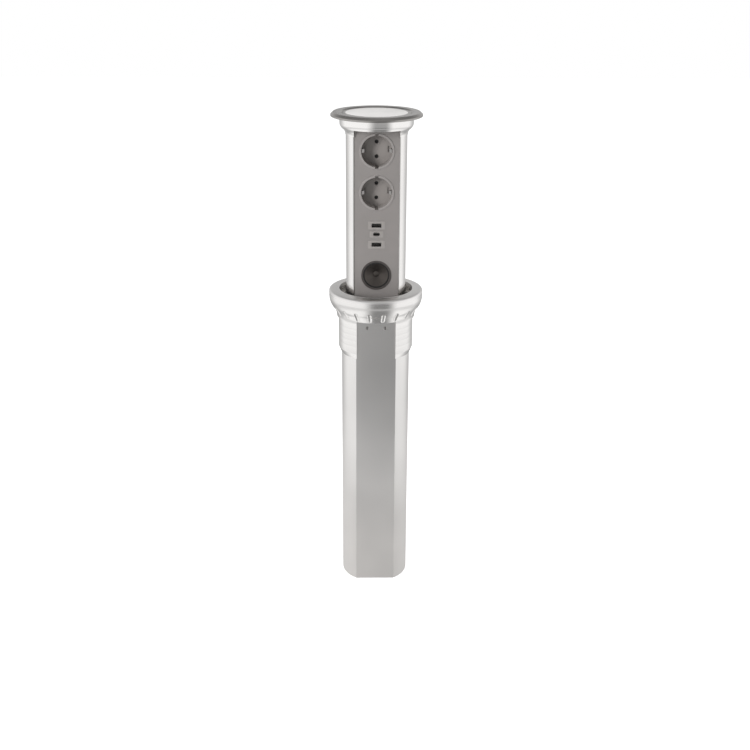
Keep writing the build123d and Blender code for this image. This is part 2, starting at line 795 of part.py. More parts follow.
clip_thickness = 0.8
clip_height = 4.6
clip_side_gap = 0.8  # between the flange and the bracket's arms
clip_slot_depth = 2.9  # these four are counted back from the panel's face
clip_tip_depth = 2.4
clip_press_depth = 4.6
clip_return_depth = 13.4
clip_press = 3.8  # that the bent contact reaches into the recess
clip_tip_inset = 0.9  # from the recess's wall to the middle of the contact's tip
clip_well_height = 8.0  # of the well in the recess's floor behind each contact
clip_well_inner = 14.4  # these two are counted from the recess's axis
clip_well_outer = 18.8
clip_well_depth = 1.6
bracket_channel_gap = 0.2
tulip_radius = 3.4
tulip_bore = 2.4
tulip_length = 13.4
tulip_slit = 0.6
tail_width = 3.0
tail_length = 2.4
carrier_cover = 2.0  # behind the contacts
shutter_thickness = 1.4
shutter_pad = 3.4
shutter_bar = 4.6
shutter_hub = 3.2
shutter_pin = 1.3
shutter_pin_gap = 0.08
shutter_pin_length = 2.0
shutter_near_gap = 0.2
clip_side = flange_width / 2 + clip_side_gap + clip_thickness
clip_slot_near = clip_slot_depth - panel_face
clip_press_reach = recess_radius - clip_press
strap_near = body_back + bracket_channel_gap
strap_far = strap_near + clip_thickness
carrier_near = body_back
bar_width = 5.0
bar_thickness = 0.8
bar_x = 11.5
shutter_near = flange_far + shutter_near_gap
tulip_back = carrier_near + tulip_length
carrier_back = tulip_back + carrier_cover


def socket_ring(height):
    """The bright ring round a recess, notched at the top and bottom."""
    with BuildPart() as ring:
        barrel(ring_radius, ring_face, -panel_face, [(0, height)])
        chamfer(edges().filter_by(GeomType.CIRCLE).group_by(Axis.Y)[0], ring_edge)
        barrel(recess_radius + ring_collar, -panel_face, -panel_back, [(0, height)])
        barrel(recess_radius, ring_face, -panel_back, [(0, height)], mode=Mode.SUBTRACT)
        key_notches(height, key_notch_reach, key_notch_width, ring_face, -panel_back,
                    Mode.SUBTRACT)
    return ring


def socket_body(height):
    """The insulating cup with its floor, side slots, flange and shutter pocket."""
    with BuildPart() as body:
        barrel(body_radius, -panel_back, flange_far, [(0, height)])
        key_notches(height, key_notch_reach + notch_wall, key_notch_width + 2 * notch_wall,
                    -panel_back, flange_far, Mode.ADD)
        block(-flange_width / 2, flange_width / 2, flange_near, body_back,
              height - flange_height / 2, height + flange_height / 2)
        barrel(recess_radius, -panel_back, recess_floor, [(0, height)], mode=Mode.SUBTRACT)
        key_notches(height, key_notch_reach, key_notch_width, -panel_back, recess_floor,
                    Mode.SUBTRACT)
        block(-clip_side, clip_side, clip_slot_near, recess_floor, height - clip_slot / 2,
              height + clip_slot / 2, mode=Mode.SUBTRACT)
        block(-clip_side, -flange_width / 2 + clip_thickness, recess_floor, body_back,
              height - clip_slot / 2, height + clip_slot / 2, mode=Mode.SUBTRACT)
        block(flange_width / 2 - clip_thickness, clip_side, recess_floor, body_back,
              height - clip_slot / 2, height + clip_slot / 2, mode=Mode.SUBTRACT)
        for left, right in ((-clip_well_outer, -clip_well_inner),
                            (clip_well_inner, clip_well_outer)):
            block(left, right, recess_floor, recess_floor + clip_well_depth,
                  height - clip_well_height / 2, height + clip_well_height / 2,
                  mode=Mode.SUBTRACT)
        barrel(pin_hole_radius, recess_floor, flange_far, pin_spots(height), mode=Mode.SUBTRACT)
        barrel(shutter_pocket_radius, flange_far, body_back, [(0, height)], mode=Mode.SUBTRACT)
        barrel(shutter_pin + shutter_pin_gap, shutter_near - shutter_pin_length - fit_gap,
               flange_far, [(0, height)], mode=Mode.SUBTRACT)
        barrel(screw_radius + screw_gap, flange_near, body_back, corner_spots(height),
               mode=Mode.SUBTRACT)
    return body


def earth_bracket(height):
    """One bent strip: a strap behind the recess and two arms with sprung contacts."""
    side = clip_side - clip_thickness / 2
    strap = (strap_near + strap_far) / 2
    tip_reach = recess_radius - clip_tip_inset
    with BuildPart() as bracket:
        with BuildSketch(Plane.XY.offset(height - clip_height / 2)):
            with BuildLine():
                Polyline(
                    (-tip_reach, clip_tip_depth - panel_face),
                    (-clip_press_reach, clip_press_depth - panel_face),
                    (-side, clip_return_depth - panel_face),
                    (-side, strap),
                    (side, strap),
                    (side, clip_return_depth - panel_face),
                    (clip_press_reach, clip_press_depth - panel_face),
                    (tip_reach, clip_tip_depth - panel_face),
                )
                offset(amount=clip_thickness / 2)
            make_face()
        extrude(amount=clip_height)
    return bracket


def pin_contacts(height):
    """The two slit brass sleeves that grip the pins, with tails for the busbars."""
    with BuildPart() as contacts:
        barrel(tulip_radius, carrier_near, tulip_back, pin_spots(height))
        barrel(tulip_bore, carrier_near, tulip_back - clip_thickness, pin_spots(height),
               mode=Mode.SUBTRACT)
        for x, z in pin_spots(height):
            block(-tulip_radius, tulip_radius, carrier_near, tulip_back / 2,
                  z - tulip_slit / 2, z + tulip_slit / 2, mode=Mode.SUBTRACT)
            block(-tail_width / 2, tail_width / 2, tulip_back, tulip_back + tail_length,
                  z - tail_width / 2, z + tail_width / 2)
    return contacts


def contact_carrier(height):
    """The rear moulding that holds contacts, bracket and earth bar in place."""
    half_width = flange_width / 2
    half_height = flange_height / 2
    strap_half = clip_height / 2 + bracket_channel_gap
    bar_half = bar_width / 2 + bracket_channel_gap
    with BuildPart() as carrier:
        block(-half_width, half_width, carrier_near, carrier_back,
              height - half_height, height + half_height)
        barrel(tulip_radius, carrier_near, carrier_back, pin_spots(height), mode=Mode.SUBTRACT)
        block(-half_width, half_width, carrier_near, strap_far,
              height - strap_half, height + strap_half, mode=Mode.SUBTRACT)
        block(-bar_x - bar_half, -bar_x + bar_half, carrier_near, strap_far + bar_thickness,
              height - half_height, height + half_height, mode=Mode.SUBTRACT)
        barrel(screw_radius + screw_gap, carrier_near, carrier_back, corner_spots(height),
               mode=Mode.SUBTRACT)
    return carrier


def pin_shutter(height):
    """The rotor that hides the pin holes, with a pivot pin towards the front."""
    with BuildPart() as shutter:
        barrel(shutter_pad, shutter_near, shutter_near + shutter_thickness, pin_spots(height))
        barrel(shutter_hub, shutter_near, shutter_near + shutter_thickness, [(0, height)])
        block(-shutter_bar / 2, shutter_bar / 2, shutter_near, shutter_near + shutter_thickness,
              height - pin_pitch / 2, height + pin_pitch / 2)
        barrel(shutter_pin, shutter_near - shutter_pin_length, shutter_near, [(0, height)])
    return shutter


for place, height in (("upper", upper_socket), ("lower", lower_socket)):
    save(socket_ring(height), f"{place}_socket_ring")
    save(socket_body(height), f"{place}_socket_body")
    save(earth_bracket(height), f"{place}_earth_bracket")
    save(pin_contacts(height), f"{place}_pin_contacts")
    save(contact_carrier(height), f"{place}_contact_carrier")
    save(pin_shutter(height), f"{place}_shutter")

# Busbars, terminal block, rear cover and the screws that clamp the sockets

busbar_offset = 8.0  # from the axis to the middle of an upright bar
busbar_width = 6.0
busbar_tab = 4.0
busbar_thickness = 1.0
terminal_width = 28.0
terminal_depth = 14.0
terminal_lap = 9.0  # that the block reaches forward past the carriers' back
terminal_height = 13.0
terminal_screw_depth = 3.0
cover_plate = 2.0
cover_wall = 1.5
cover_depth = 6.0  # behind the carriers
cover_lap = 2.0  # that the cover's walls reach over the carriers
screw_tip_gap = 4.5  # from the panel's back to the screws' tips
terminal_near = carrier_back - terminal_lap
terminal_far = terminal_near + terminal_depth
cover_far = carrier_back + cover_depth
screw_tip = screw_tip_gap - panel_back
busbar_near = tulip_back + tail_length
busbar_far = busbar_near + busbar_thickness
block_top = lower_socket - flange_height / 2
block_bottom = block_top - terminal_height
cover_top = upper_socket + flange_height / 2 + fit_gap + cover_wall
cover_half = flange_width / 2 + fit_gap + cover_wall


def busbar(sign, pin_side):
    """An upright bar at one side, with a tab to the same pin of both sockets."""
    middle = sign * busbar_offset
    with BuildPart() as bar:
        tabs = [height + pin_side * pin_pitch / 2 for height in socket_heights]
        block(middle - busbar_width / 2, middle + busbar_width / 2, busbar_near, busbar_far,
              block_bottom + terminal_screw_depth, tabs[0] + busbar_tab / 2)
        for height in tabs:
            reach = sorted((middle, -sign * tail_width / 2))
            block(reach[0], reach[1], busbar_near, busbar_far,
                  height - busbar_tab / 2, height + busbar_tab / 2)
    return bar


save(busbar(1, 1), "live_busbar")
save(busbar(-1, -1), "neutral_busbar")

with BuildPart() as earth_busbar:
    block(-bar_x - bar_width / 2, -bar_x + bar_width / 2, strap_far, strap_far + bar_thickness,
          lower_socket - clip_height / 2, upper_socket + clip_height / 2)
save(earth_busbar, "earth_busbar")

with BuildPart() as terminal_block:
    block(-terminal_width / 2, terminal_width / 2, terminal_near, terminal_far,
          block_bottom, block_top)
    for sign in (-1, 1):
        middle = sign * busbar_offset
        block(middle - busbar_width / 2 - fit_gap, middle + busbar_width / 2 + fit_gap,
              busbar_near - fit_gap, busbar_far + fit_gap,
              block_bottom + terminal_screw_depth - fit_gap, block_top, mode=Mode.SUBTRACT)
        barrel(head_radius, terminal_far - terminal_screw_depth, terminal_far,
               [(middle, (block_bottom + block_top) / 2)], mode=Mode.SUBTRACT)
save(terminal_block, "terminal_block")

with BuildPart() as terminal_cover:
    block(-cover_half, cover_half, carrier_back - cover_lap, cover_far, block_top, cover_top)
    block(-cover_half + cover_wall, cover_half - cover_wall, carrier_back - cover_lap,
          cover_far - cover_plate, block_top, cover_top - cover_wall, mode=Mode.SUBTRACT)
    barrel(corner_post_radius, carrier_back, cover_far - cover_plate,
           [(x, height) for x in (-corner_x, corner_x) for height in socket_heights])
save(terminal_cover, "terminal_cover")

with BuildPart() as socket_screws:
    for height in socket_heights:
        barrel(screw_radius, screw_tip, carrier_back, corner_spots(height))
        barrel(head_radius, carrier_back, carrier_back + head_height, corner_spots(height))
        hexagons(front(carrier_back + head_height).reverse(),
                 [(-x, z) for x, z in corner_spots(height)], key_depth)
save(socket_screws, "socket_screws")

# USB ports and their board

usb_board_thickness = 1.6
usb_part_depth = 12.0
usb_part_width = 18.0
usb_part_height = 16.0
usb_part_drop = 3.5  # from the lower port to the underside of the part
board_screw_length = 5.5
can_radius = 4.0
can_length = 11.0
can_x = 5.5
can_drop = 3.0  # below the upper port
usb_board_far = usb_board_near + usb_board_thickness
usb_part_low = lower_usb_a - usb_part_drop
usb_part_high = usb_part_low + usb_part_height
can_height = upper_usb_a - can_drop


def port_outline(size):
    """Draw a port's outline at the origin of the open sketch: type C has round ends."""
    if size == shell_c:
        SlotOverall(size[0], size[1])
    else:
        Rectangle(size[0], size[1])


def port_bore(size):
    """Draw a port's opening inside its metal wall."""
    if size == shell_c:
        SlotOverall(size[0] - 2 * usb_shell_wall, size[1] - 2 * usb_shell_wall)
    else:
        Rectangle(size[0] - 2 * usb_shell_wall, size[1] - 2 * usb_shell_wall)


def port_opening(size):
    """Draw a bezel's opening: snug round a type A port, higher than a type C port."""
    if size == shell_c:
        SlotOverall(size[0] + 2 * relief_c[0], size[1] + 2 * relief_c[1])
    else:
        Rectangle(size[0], size[1])


with BuildPart() as usb_bezels:
    for height, bezel, shell in usb_ports:
        with BuildSketch(front(bezel_face)) as rim:
            with Locations((0, height)):
                RectangleRounded(bezel[0], bezel[1], bezel_corner)
        extrude(rim.sketch, amount=-bezel_proud)
        with BuildSketch(front(-panel_face)) as insert:
            with Locations((0, height)):
                Rectangle(bezel[0] - 2 * bezel_insert, bezel[1] - 2 * bezel_insert)
        extrude(insert.sketch, amount=-panel_thickness)
        with BuildSketch(front(bezel_face)) as opening:
            with Locations((0, height)):
                port_opening(shell)
        extrude(opening.sketch, amount=-bezel_proud - panel_thickness, mode=Mode.SUBTRACT)
save(usb_bezels, "usb_bezels")

with BuildPart() as usb_shells:
    for height, bezel, shell in usb_ports:
        with BuildSketch(front(usb_near)) as tube:
            with Locations((0, height)):
                port_outline(shell)
        extrude(tube.sketch, amount=-usb_depth)
        with BuildSketch(front(usb_near)) as bore:
            with Locations((0, height)):
                port_bore(shell)
        extrude(bore.sketch, amount=usb_shell_wall - usb_depth, mode=Mode.SUBTRACT)
save(usb_shells, "usb_shells")

with BuildPart() as usb_tongues:
    for height in (upper_usb_a, lower_usb_a):
        block(-tongue_a[0] / 2, tongue_a[0] / 2, bezel_face + tongue_back,
              usb_board_near - usb_shell_wall, height + tongue_lift - tongue_a[1] / 2,
              height + tongue_lift + tongue_a[1] / 2)
    block(-tongue_c[0] / 2, tongue_c[0] / 2, bezel_face + tongue_back,
          usb_board_near - usb_shell_wall, usb_c - tongue_c[1] / 2, usb_c + tongue_c[1] / 2)
save(usb_tongues, "usb_tongues")

with BuildPart() as usb_board:
    block(-usb_board_width / 2, usb_board_width / 2, usb_board_near, usb_board_far,
          usb_board_low, usb_board_high)
    barrel(small_screw_radius + screw_gap, usb_board_near, usb_board_far, usb_post_spots,
           mode=Mode.SUBTRACT)
save(usb_board, "usb_board")

with BuildPart() as usb_power_parts:
    block(-usb_part_width / 2, usb_part_width / 2, usb_board_far, usb_board_far + usb_part_depth,
          usb_part_low, usb_part_high)
    barrel(can_radius, usb_board_far, usb_board_far + can_length,
           [(-can_x, can_height), (can_x, can_height)])
save(usb_power_parts, "usb_power_parts")

with BuildPart() as board_screws:
    for far, spots in ((usb_board_far, usb_post_spots),
                       (amp_board_near + usb_board_thickness, amp_post_spots)):
        barrel(small_screw_radius, far - board_screw_length, far, spots)
        barrel(small_head_radius, far, far + small_head_height, spots)
        hexagons(front(far + small_head_height).reverse(), [(-x, z) for x, z in spots],
                 key_depth)
save(board_screws, "board_screws")

# Speaker: basket, surround, cone, dust cap, voice coil and magnet on one level axis

trim_width = 2.5
basket_wall = 1.0
basket_bend_depth = 9.4  # behind the panel's face
basket_taper = 7.5  # from the bend back to the magnet's seat
basket_hole = 8.0
magnet_radius = 12.5
magnet_length = 6.5
roll_width = 1.8
cone_depth = 7.1
cone_thickness = 0.5
coil_tube_radius = 4.2
coil_tube_wall = 0.6
coil_tube_lap = 2.0  # that the voice coil reaches into the magnet
pole_radius = 3.3
pole_gap_radius = 4.6
pole_gap_depth = 3.5
cap_rise = 1.4
trim_inner = speaker_trim - trim_width
cone_outer = trim_inner - roll_width
basket_bend = basket_bend_depth - panel_face
magnet_seat = basket_bend + basket_taper
coil_tube_end = magnet_seat + coil_tube_lap
pole_gap_end = magnet_seat + pole_gap_depth
magnet_back = magnet_seat + magnet_length
trim_face = -panel_face - speaker_proud
surround_face = trim_face + basket_wall
cone_back = surround_face + cone_depth
roll_rise = 0.9
roll_wall = 0.4

with BuildPart() as speaker_basket:
    turned(
        [
            (trim_inner, trim_face),
            (speaker_trim, trim_face),
            (speaker_trim, -panel_face),
            (speaker_frame, -panel_face),
            (speaker_frame, basket_bend),
            (magnet_radius, magnet_seat),
            (basket_hole, magnet_seat),
            (basket_hole, magnet_seat - basket_wall),
            (magnet_radius - basket_wall, magnet_seat - basket_wall),
            (speaker_frame - basket_wall, basket_bend),
            (speaker_frame - basket_wall, surround_face),
            (trim_inner, surround_face),
        ],
        speaker_height,
    )
save(speaker_basket, "speaker_basket")

with BuildPart() as speaker_surround:
    with BuildSketch(Plane.XY.offset(speaker_height)) as outline:
        with BuildLine():
            middle = (trim_inner + cone_outer) / 2
            rim = Polyline((cone_outer, surround_face + roll_wall), (cone_outer, surround_face))
            ThreePointArc(rim @ 1, (middle, surround_face - roll_rise),
                          (trim_inner - fit_gap, surround_face))
            Polyline((trim_inner - fit_gap, surround_face),
                     (speaker_frame - basket_wall - fit_gap, surround_face),
                     (speaker_frame - basket_wall - fit_gap, surround_face + roll_wall),
                     (trim_inner - fit_gap - roll_wall, surround_face + roll_wall))
            ThreePointArc((trim_inner - fit_gap - roll_wall, surround_face + roll_wall),
                          (middle, surround_face - roll_rise + roll_wall),
                          (cone_outer + roll_wall, surround_face + roll_wall))
            Line((cone_outer + roll_wall, surround_face + roll_wall), rim @ 0)
        make_face()
    revolve(outline.sketch, axis=Axis((0, 0, speaker_height), (0, 1, 0)))
save(speaker_surround, "speaker_surround")

with BuildPart() as speaker_cone:
    turned(
        [
            (coil_tube_radius, cone_back),
            (cone_outer - cone_thickness, surround_face + roll_wall),
            (cone_outer + roll_wall, surround_face + roll_wall),
            (cone_outer + roll_wall, surround_face + roll_wall + cone_thickness),
            (cone_outer, surround_face + roll_wall + cone_thickness),
            (coil_tube_radius, cone_back + cone_thickness),
        ],
        speaker_height,
    )
save(speaker_cone, "speaker_cone")

with BuildPart() as voice_coil:
    turned(
        [
            (coil_tube_radius - coil_tube_wall, cone_back),
            (coil_tube_radius, cone_back),
            (coil_tube_radius, coil_tube_end),
            (coil_tube_radius - coil_tube_wall, coil_tube_end),
        ],
        speaker_height,
    )
save(voice_coil, "voice_coil")

with BuildPart() as speaker_dust_cap:
    with BuildSketch(Plane.XY.offset(speaker_height)) as outline:
        with BuildLine():
            base = Polyline((0, cone_back - cap_rise), (0, cone_back), (coil_tube_radius, cone_back))
            sphere = (coil_tube_radius**2 + cap_rise**2) / (2 * cap_rise)
            RadiusArc(base @ 1, base @ 0, sphere)
        make_face()
    revolve(outline.sketch, axis=Axis((0, 0, speaker_height), (0, 1, 0)))
save(speaker_dust_cap, "speaker_dust_cap")

with BuildPart() as speaker_magnet:
    turned(
        [
            (0, magnet_seat - basket_wall),
            (pole_radius, magnet_seat - basket_wall),
            (pole_radius, pole_gap_end),
            (pole_gap_radius, pole_gap_end),
            (pole_gap_radius, magnet_seat),
            (magnet_radius, magnet_seat),
            (magnet_radius, magnet_back),
            (0, magnet_back),
        ],
        speaker_height,
    )
save(speaker_magnet, "speaker_magnet")

chip_size = 9.0
chip_height = 1.2
with BuildPart() as amplifier_board:
    block(-amp_board_width / 2, amp_board_width / 2, amp_board_near,
          amp_board_near + usb_board_thickness, amp_board_low, amp_board_high)
    barrel(small_screw_radius + screw_gap, amp_board_near, amp_board_near + usb_board_thickness,
           amp_post_spots, mode=Mode.SUBTRACT)
    block(-chip_size / 2, chip_size / 2, amp_board_near + usb_board_thickness,
          amp_board_near + usb_board_thickness + chip_height,
          speaker_height - chip_size / 2, speaker_height + chip_size / 2)
save(amplifier_board, "amplifier_board")

# Tower foot: its shoulder meets the brake's retainer when the tower is up

foot_gap = 0.7  # to the sleeve all round
foot_plate = 5.0
foot_length = 36.0
foot_wall = 3.0
plug_height = 8.0
plug_wall = 3.0
foot_screw_grip = 10.0
foot_radius = sleeve_bore - foot_gap
foot_flat = sleeve_bore_flat - foot_gap
foot_plate_bottom = tower_end - foot_plate
foot_end = tower_end - foot_length
plug_radius = shell_bore - bush_gap
plug_flat = rail_back - bush_gap

with BuildPart() as tower_foot:
    d_solid(foot_radius, foot_flat, foot_end, tower_end)
    d_solid(foot_radius - foot_wall, foot_flat - foot_wall, foot_end, foot_plate_bottom,
            mode=Mode.SUBTRACT)
    d_solid(plug_radius, plug_flat, tower_end, tower_end + plug_height)
    d_solid(plug_radius - plug_wall, plug_flat - plug_wall, tower_end, tower_end + plug_height,
            mode=Mode.SUBTRACT)
    upright(shell_boss_radius + bush_gap, tower_end, tower_end + plug_height, shell_boss_spots,
            mode=Mode.SUBTRACT)
    upright(screw_radius + screw_gap, foot_plate_bottom, tower_end, shell_boss_spots,
            mode=Mode.SUBTRACT)
    disc(grommet_neck, foot_plate_bottom, tower_end, mode=Mode.SUBTRACT)
save(tower_foot, "tower_foot")

with BuildPart() as foot_screws:
    upright(screw_radius, foot_plate_bottom, tower_end + foot_screw_grip, shell_boss_spots)
    upright(head_radius, foot_plate_bottom - head_height, foot_plate_bottom, shell_boss_spots)
    hexagons(Plane.XY.offset(foot_plate_bottom - head_height).reverse(),
             [(x, -y) for x, y in shell_boss_spots], key_depth)
save(foot_screws, "foot_screws")

with BuildPart() as foot_grommet:
    spun(
        [
            (cable_radius, foot_plate_bottom - grommet_flange),
            (grommet_radius, foot_plate_bottom - grommet_flange),
            (grommet_radius, foot_plate_bottom),
            (grommet_neck, foot_plate_bottom),
            (grommet_neck, tower_end),
            (grommet_radius, tower_end),
            (grommet_radius, tower_end + grommet_flange),
            (cable_radius, tower_end + grommet_flange),
        ]
    )
save(foot_grommet, "foot_grommet")

travel = drum_top - mouth_height - running_gap
print("tower travel", round(travel, 2))
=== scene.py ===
# %% [markdown]
# # Dressing a pop-up desk socket
#
# The object is a tower that is pulled up out of a desk. It carries two mains sockets, three
# USB ports and a small speaker, and a pad for charging a phone lies on top.
# The frame that is loaded first holds every machined piece at its real size, in metres.
# This script gives the pieces that show fine edges and a finish, and lights them.

import json
import math

import bmesh
import bpy
from mathutils import Matrix, Vector


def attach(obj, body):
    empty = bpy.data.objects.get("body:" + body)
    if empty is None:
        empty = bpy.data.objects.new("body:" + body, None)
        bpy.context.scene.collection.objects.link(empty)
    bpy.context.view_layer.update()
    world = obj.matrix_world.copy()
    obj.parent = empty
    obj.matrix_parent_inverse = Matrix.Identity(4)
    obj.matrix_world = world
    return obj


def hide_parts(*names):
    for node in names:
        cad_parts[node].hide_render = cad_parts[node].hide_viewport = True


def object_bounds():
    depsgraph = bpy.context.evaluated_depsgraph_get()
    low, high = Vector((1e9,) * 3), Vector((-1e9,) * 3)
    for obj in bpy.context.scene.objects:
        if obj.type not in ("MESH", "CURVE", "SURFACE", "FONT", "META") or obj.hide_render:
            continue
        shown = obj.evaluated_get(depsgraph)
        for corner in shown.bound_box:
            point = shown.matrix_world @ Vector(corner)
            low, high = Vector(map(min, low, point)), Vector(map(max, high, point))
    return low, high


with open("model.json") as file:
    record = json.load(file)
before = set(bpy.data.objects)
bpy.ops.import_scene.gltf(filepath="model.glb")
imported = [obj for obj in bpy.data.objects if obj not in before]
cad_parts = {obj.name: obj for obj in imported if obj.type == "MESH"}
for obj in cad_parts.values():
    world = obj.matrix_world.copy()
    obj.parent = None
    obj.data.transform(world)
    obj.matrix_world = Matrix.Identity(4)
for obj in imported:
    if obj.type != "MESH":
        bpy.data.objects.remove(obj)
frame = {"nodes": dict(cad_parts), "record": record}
cad_low, cad_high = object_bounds()
scene = bpy.context.scene
scene.view_settings.view_transform = "Standard"
mm = 0.001
print("nodes", len(frame["nodes"]), "height", round((cad_high.z - cad_low.z) / mm, 1), "mm")

# %% [markdown]
# ## The camera
#
# A product picture like this one is taken from a little above and from some way off, with a
# moderate lens. Two things fix the camera here: the pins of a socket stand 19 mm apart, and
# the ellipses of the rims open up from the cap down to the lower end.
# The camera is built from a point, a pitch, and a small roll, because those are what can be
# read from the picture.

# %% Camera
IMAGE_SIDE = 750.0
FOCAL_PIXELS = 1155.0
CAMERA_DISTANCE = 1500.0 * mm
CAMERA_HEIGHT = 489.3 * mm
CAMERA_AZIMUTH = math.radians(-1.2)
CAMERA_PITCH = math.radians(-21.1)
CAMERA_ROLL = math.radians(0.3)
AXIS_OFFSET = 0.3 / FOCAL_PIXELS

camera_data = bpy.data.cameras.new("product_camera")
camera_data.sensor_width = 36.0
camera_data.lens = camera_data.sensor_width * FOCAL_PIXELS / IMAGE_SIDE
camera = bpy.data.objects.new("product_camera", camera_data)
scene.collection.objects.link(camera)
scene.camera = camera
camera.location = (
    CAMERA_DISTANCE * math.sin(CAMERA_AZIMUTH),
    -CAMERA_DISTANCE * math.cos(CAMERA_AZIMUTH),
    CAMERA_HEIGHT,
)
turn = Matrix.Rotation(CAMERA_AZIMUTH + AXIS_OFFSET, 4, "Z")
tilt = Matrix.Rotation(math.pi / 2 + CAMERA_PITCH, 4, "X")
roll = Matrix.Rotation(CAMERA_ROLL, 4, "Z")
camera.rotation_euler = (turn @ tilt @ roll).to_euler()
print("lens", round(camera_data.lens, 1), "mm")

# %% [markdown]
# ## Outlines with rounded corners
#
# Nearly every piece here is either turned or extruded, so it starts as a flat outline. An
# outline with sharp corners catches no light at its edges. A Bevel modifier could round the
# finished mesh, but the outline is simpler to round, because each corner can then have the
# radius that its tool or die leaves.


# %% Rounded outlines
LARGEST_SHARE = 0.48
STRAIGHT_WITHIN = 0.05


def rounded(points, radius, steps=4):
    """Round the corners of a closed outline; a point may carry its own radius as a third."""
    count = len(points)
    made = []
    for i, point in enumerate(points):
        here = Vector(point[:2])
        before = Vector(points[i - 1][:2]) - here
        after = Vector(points[(i + 1) % count][:2]) - here
        wish = point[2] if len(point) > 2 else radius
        turn_angle = before.angle(after)
        if wish <= 0 or math.pi - turn_angle < STRAIGHT_WITHIN:
            made.append(tuple(here))
            continue
        reach = wish / math.tan(turn_angle / 2)
        longest = LARGEST_SHARE * min(before.length, after.length)
        if reach > longest:
            reach = longest
        start = here + before.normalized() * reach
        end = here + after.normalized() * reach
        size = reach * math.tan(turn_angle / 2)
        middle = here + (before.normalized() + after.normalized()).normalized() * (
            size / math.sin(turn_angle / 2)
        )
        # Slerp turns a direction, and gives it back with a length of one
        first = (start - middle).normalized()
        last = (end - middle).normalized()
        for step in range(steps + 1):
            made.append(tuple(middle + first.slerp(last, step / steps) * size))
    return made


print("points of a rounded square", len(rounded([(0, 0), (1, 0), (1, 1), (0, 1)], 0.2)))

# %% [markdown]
# ## From points to a clean mesh
#
# The outlines are written in millimetres and Blender works in metres here, so one helper
# converts them. A mesh that is built by hand can have faces that look inwards. Working their
# directions out again is safer than minding the order of the points in every face. Smooth
# shading that stops at sharp edges gives a turned piece its even sheen with crisp corners.


# %% Meshes
WELD_DISTANCE = 1e-7


def as_object(name, verts, faces):
    """A mesh object in metres from points in millimetres."""
    mesh = bpy.data.meshes.new(name)
    mesh.from_pydata([Vector(v) * mm for v in verts], [], faces)
    mesh.update()
    made = bpy.data.objects.new(name, mesh)
    scene.collection.objects.link(made)
    return made


def outward(piece):
    """Make every face of a closed mesh look outwards."""
    shape = bmesh.new()
    shape.from_mesh(piece.data)
    bmesh.ops.remove_doubles(shape, verts=shape.verts, dist=WELD_DISTANCE)
    bmesh.ops.recalc_face_normals(shape, faces=shape.faces)
    shape.to_mesh(piece.data)
    shape.free()


def soften(piece, angle=28.0):
    """Shade smooth, but keep the edges that turn by more than the angle."""
    piece.data.shade_smooth()
    piece.data.set_sharp_from_angle(angle=math.radians(angle))


# %% [markdown]
# ## Turned and extruded pieces
#
# Rim, funnel, collar and rings are turned: one outline goes round an axis. A Screw modifier
# could do it, but a short loop that places each ring of points keeps the seam closed and lets
# the axis point along the tower or out of the panel. The shell is an outline that is stood up
# between two heights, and a plain box is the simplest case of that.


# %% Lathe, prism and brick
ON_THE_AXIS = 1e-6


def lathe(name, outline, steps=180, height=None):
    """Turn a closed outline about the tower, or about a level axis at the height given."""
    verts, faces = [], []
    count = len(outline)
    for step in range(steps):
        angle = 2 * math.pi * step / steps
        c, s = math.cos(angle), math.sin(angle)
        for radius, along in outline:
            if height is None:
                verts.append((radius * c, radius * s, along))
            else:
                verts.append((radius * c, along, height + radius * s))
    for step in range(steps):
        here, there = step * count, (step + 1) % steps * count
        for i in range(count):
            j = (i + 1) % count
            if outline[i][0] < ON_THE_AXIS and outline[j][0] < ON_THE_AXIS:
                continue
            faces.append((here + i, there + i, there + j, here + j))
    made = as_object(name, verts, faces)
    outward(made)
    return made


def prism(name, outline, low, high):
    """Stand an outline of (x, y) points up between two heights."""
    count = len(outline)
    verts = [(x, y, z) for z in (low, high) for x, y in outline]
    faces = [tuple(range(count)), tuple(range(2 * count - 1, count - 1, -1))]
    for i in range(count):
        j = (i + 1) % count
        faces.append((i, j, count + j, count + i))
    made = as_object(name, verts, faces)
    outward(made)
    return made


def brick(name, low, high):
    """A plain box, used only as a cutter."""
    (x0, y0, z0), (x1, y1, z1) = low, high
    return prism(name, [(x0, y0), (x1, y0), (x1, y1), (x0, y1)], z0, z1)


# %% [markdown]
# ## Cutting and joining
#
# Notches, windows and slots are cut with the Boolean modifier, as a milling cutter would. It
# is applied at once, so that the cutter can be deleted and the mesh is final. Pieces that are
# many on the real object but one in the frame, such as a pair of screws, are joined.


# %% Cutting and joining
def cut_away(piece, *cutters):
    """Take the cutters out of a piece for good, and delete them."""
    for cutter in cutters:
        tool = piece.modifiers.new("cut", "BOOLEAN")
        tool.operation = "DIFFERENCE"
        tool.solver = "EXACT"
        tool.object = cutter
        graph = bpy.context.evaluated_depsgraph_get()
        result = bpy.data.meshes.new_from_object(piece.evaluated_get(graph))
        piece.modifiers.remove(tool)
        old = piece.data
        piece.data = result
        bpy.data.meshes.remove(old)
        bpy.data.objects.remove(cutter)


def joined(name, pieces):
    """Join several objects into one, and return it."""
    with bpy.context.temp_override(
        active_object=pieces[0], selected_editable_objects=pieces
    ):
        bpy.ops.object.join()
    pieces[0].name = name
    return pieces[0]


# %% [markdown]
# ## Finishes
#
# Most of the object is aluminium in several finishes: drawn tube with lines along its length,
# turned rims with rings round them, and a polished funnel. The grain is noise that is
# stretched along the way the tool went. Object coordinates are used, because every piece
# keeps its origin at the frame's origin, so the grain has a real size on every piece.
# Shader trees are long to write out node by node, so small helpers come first.


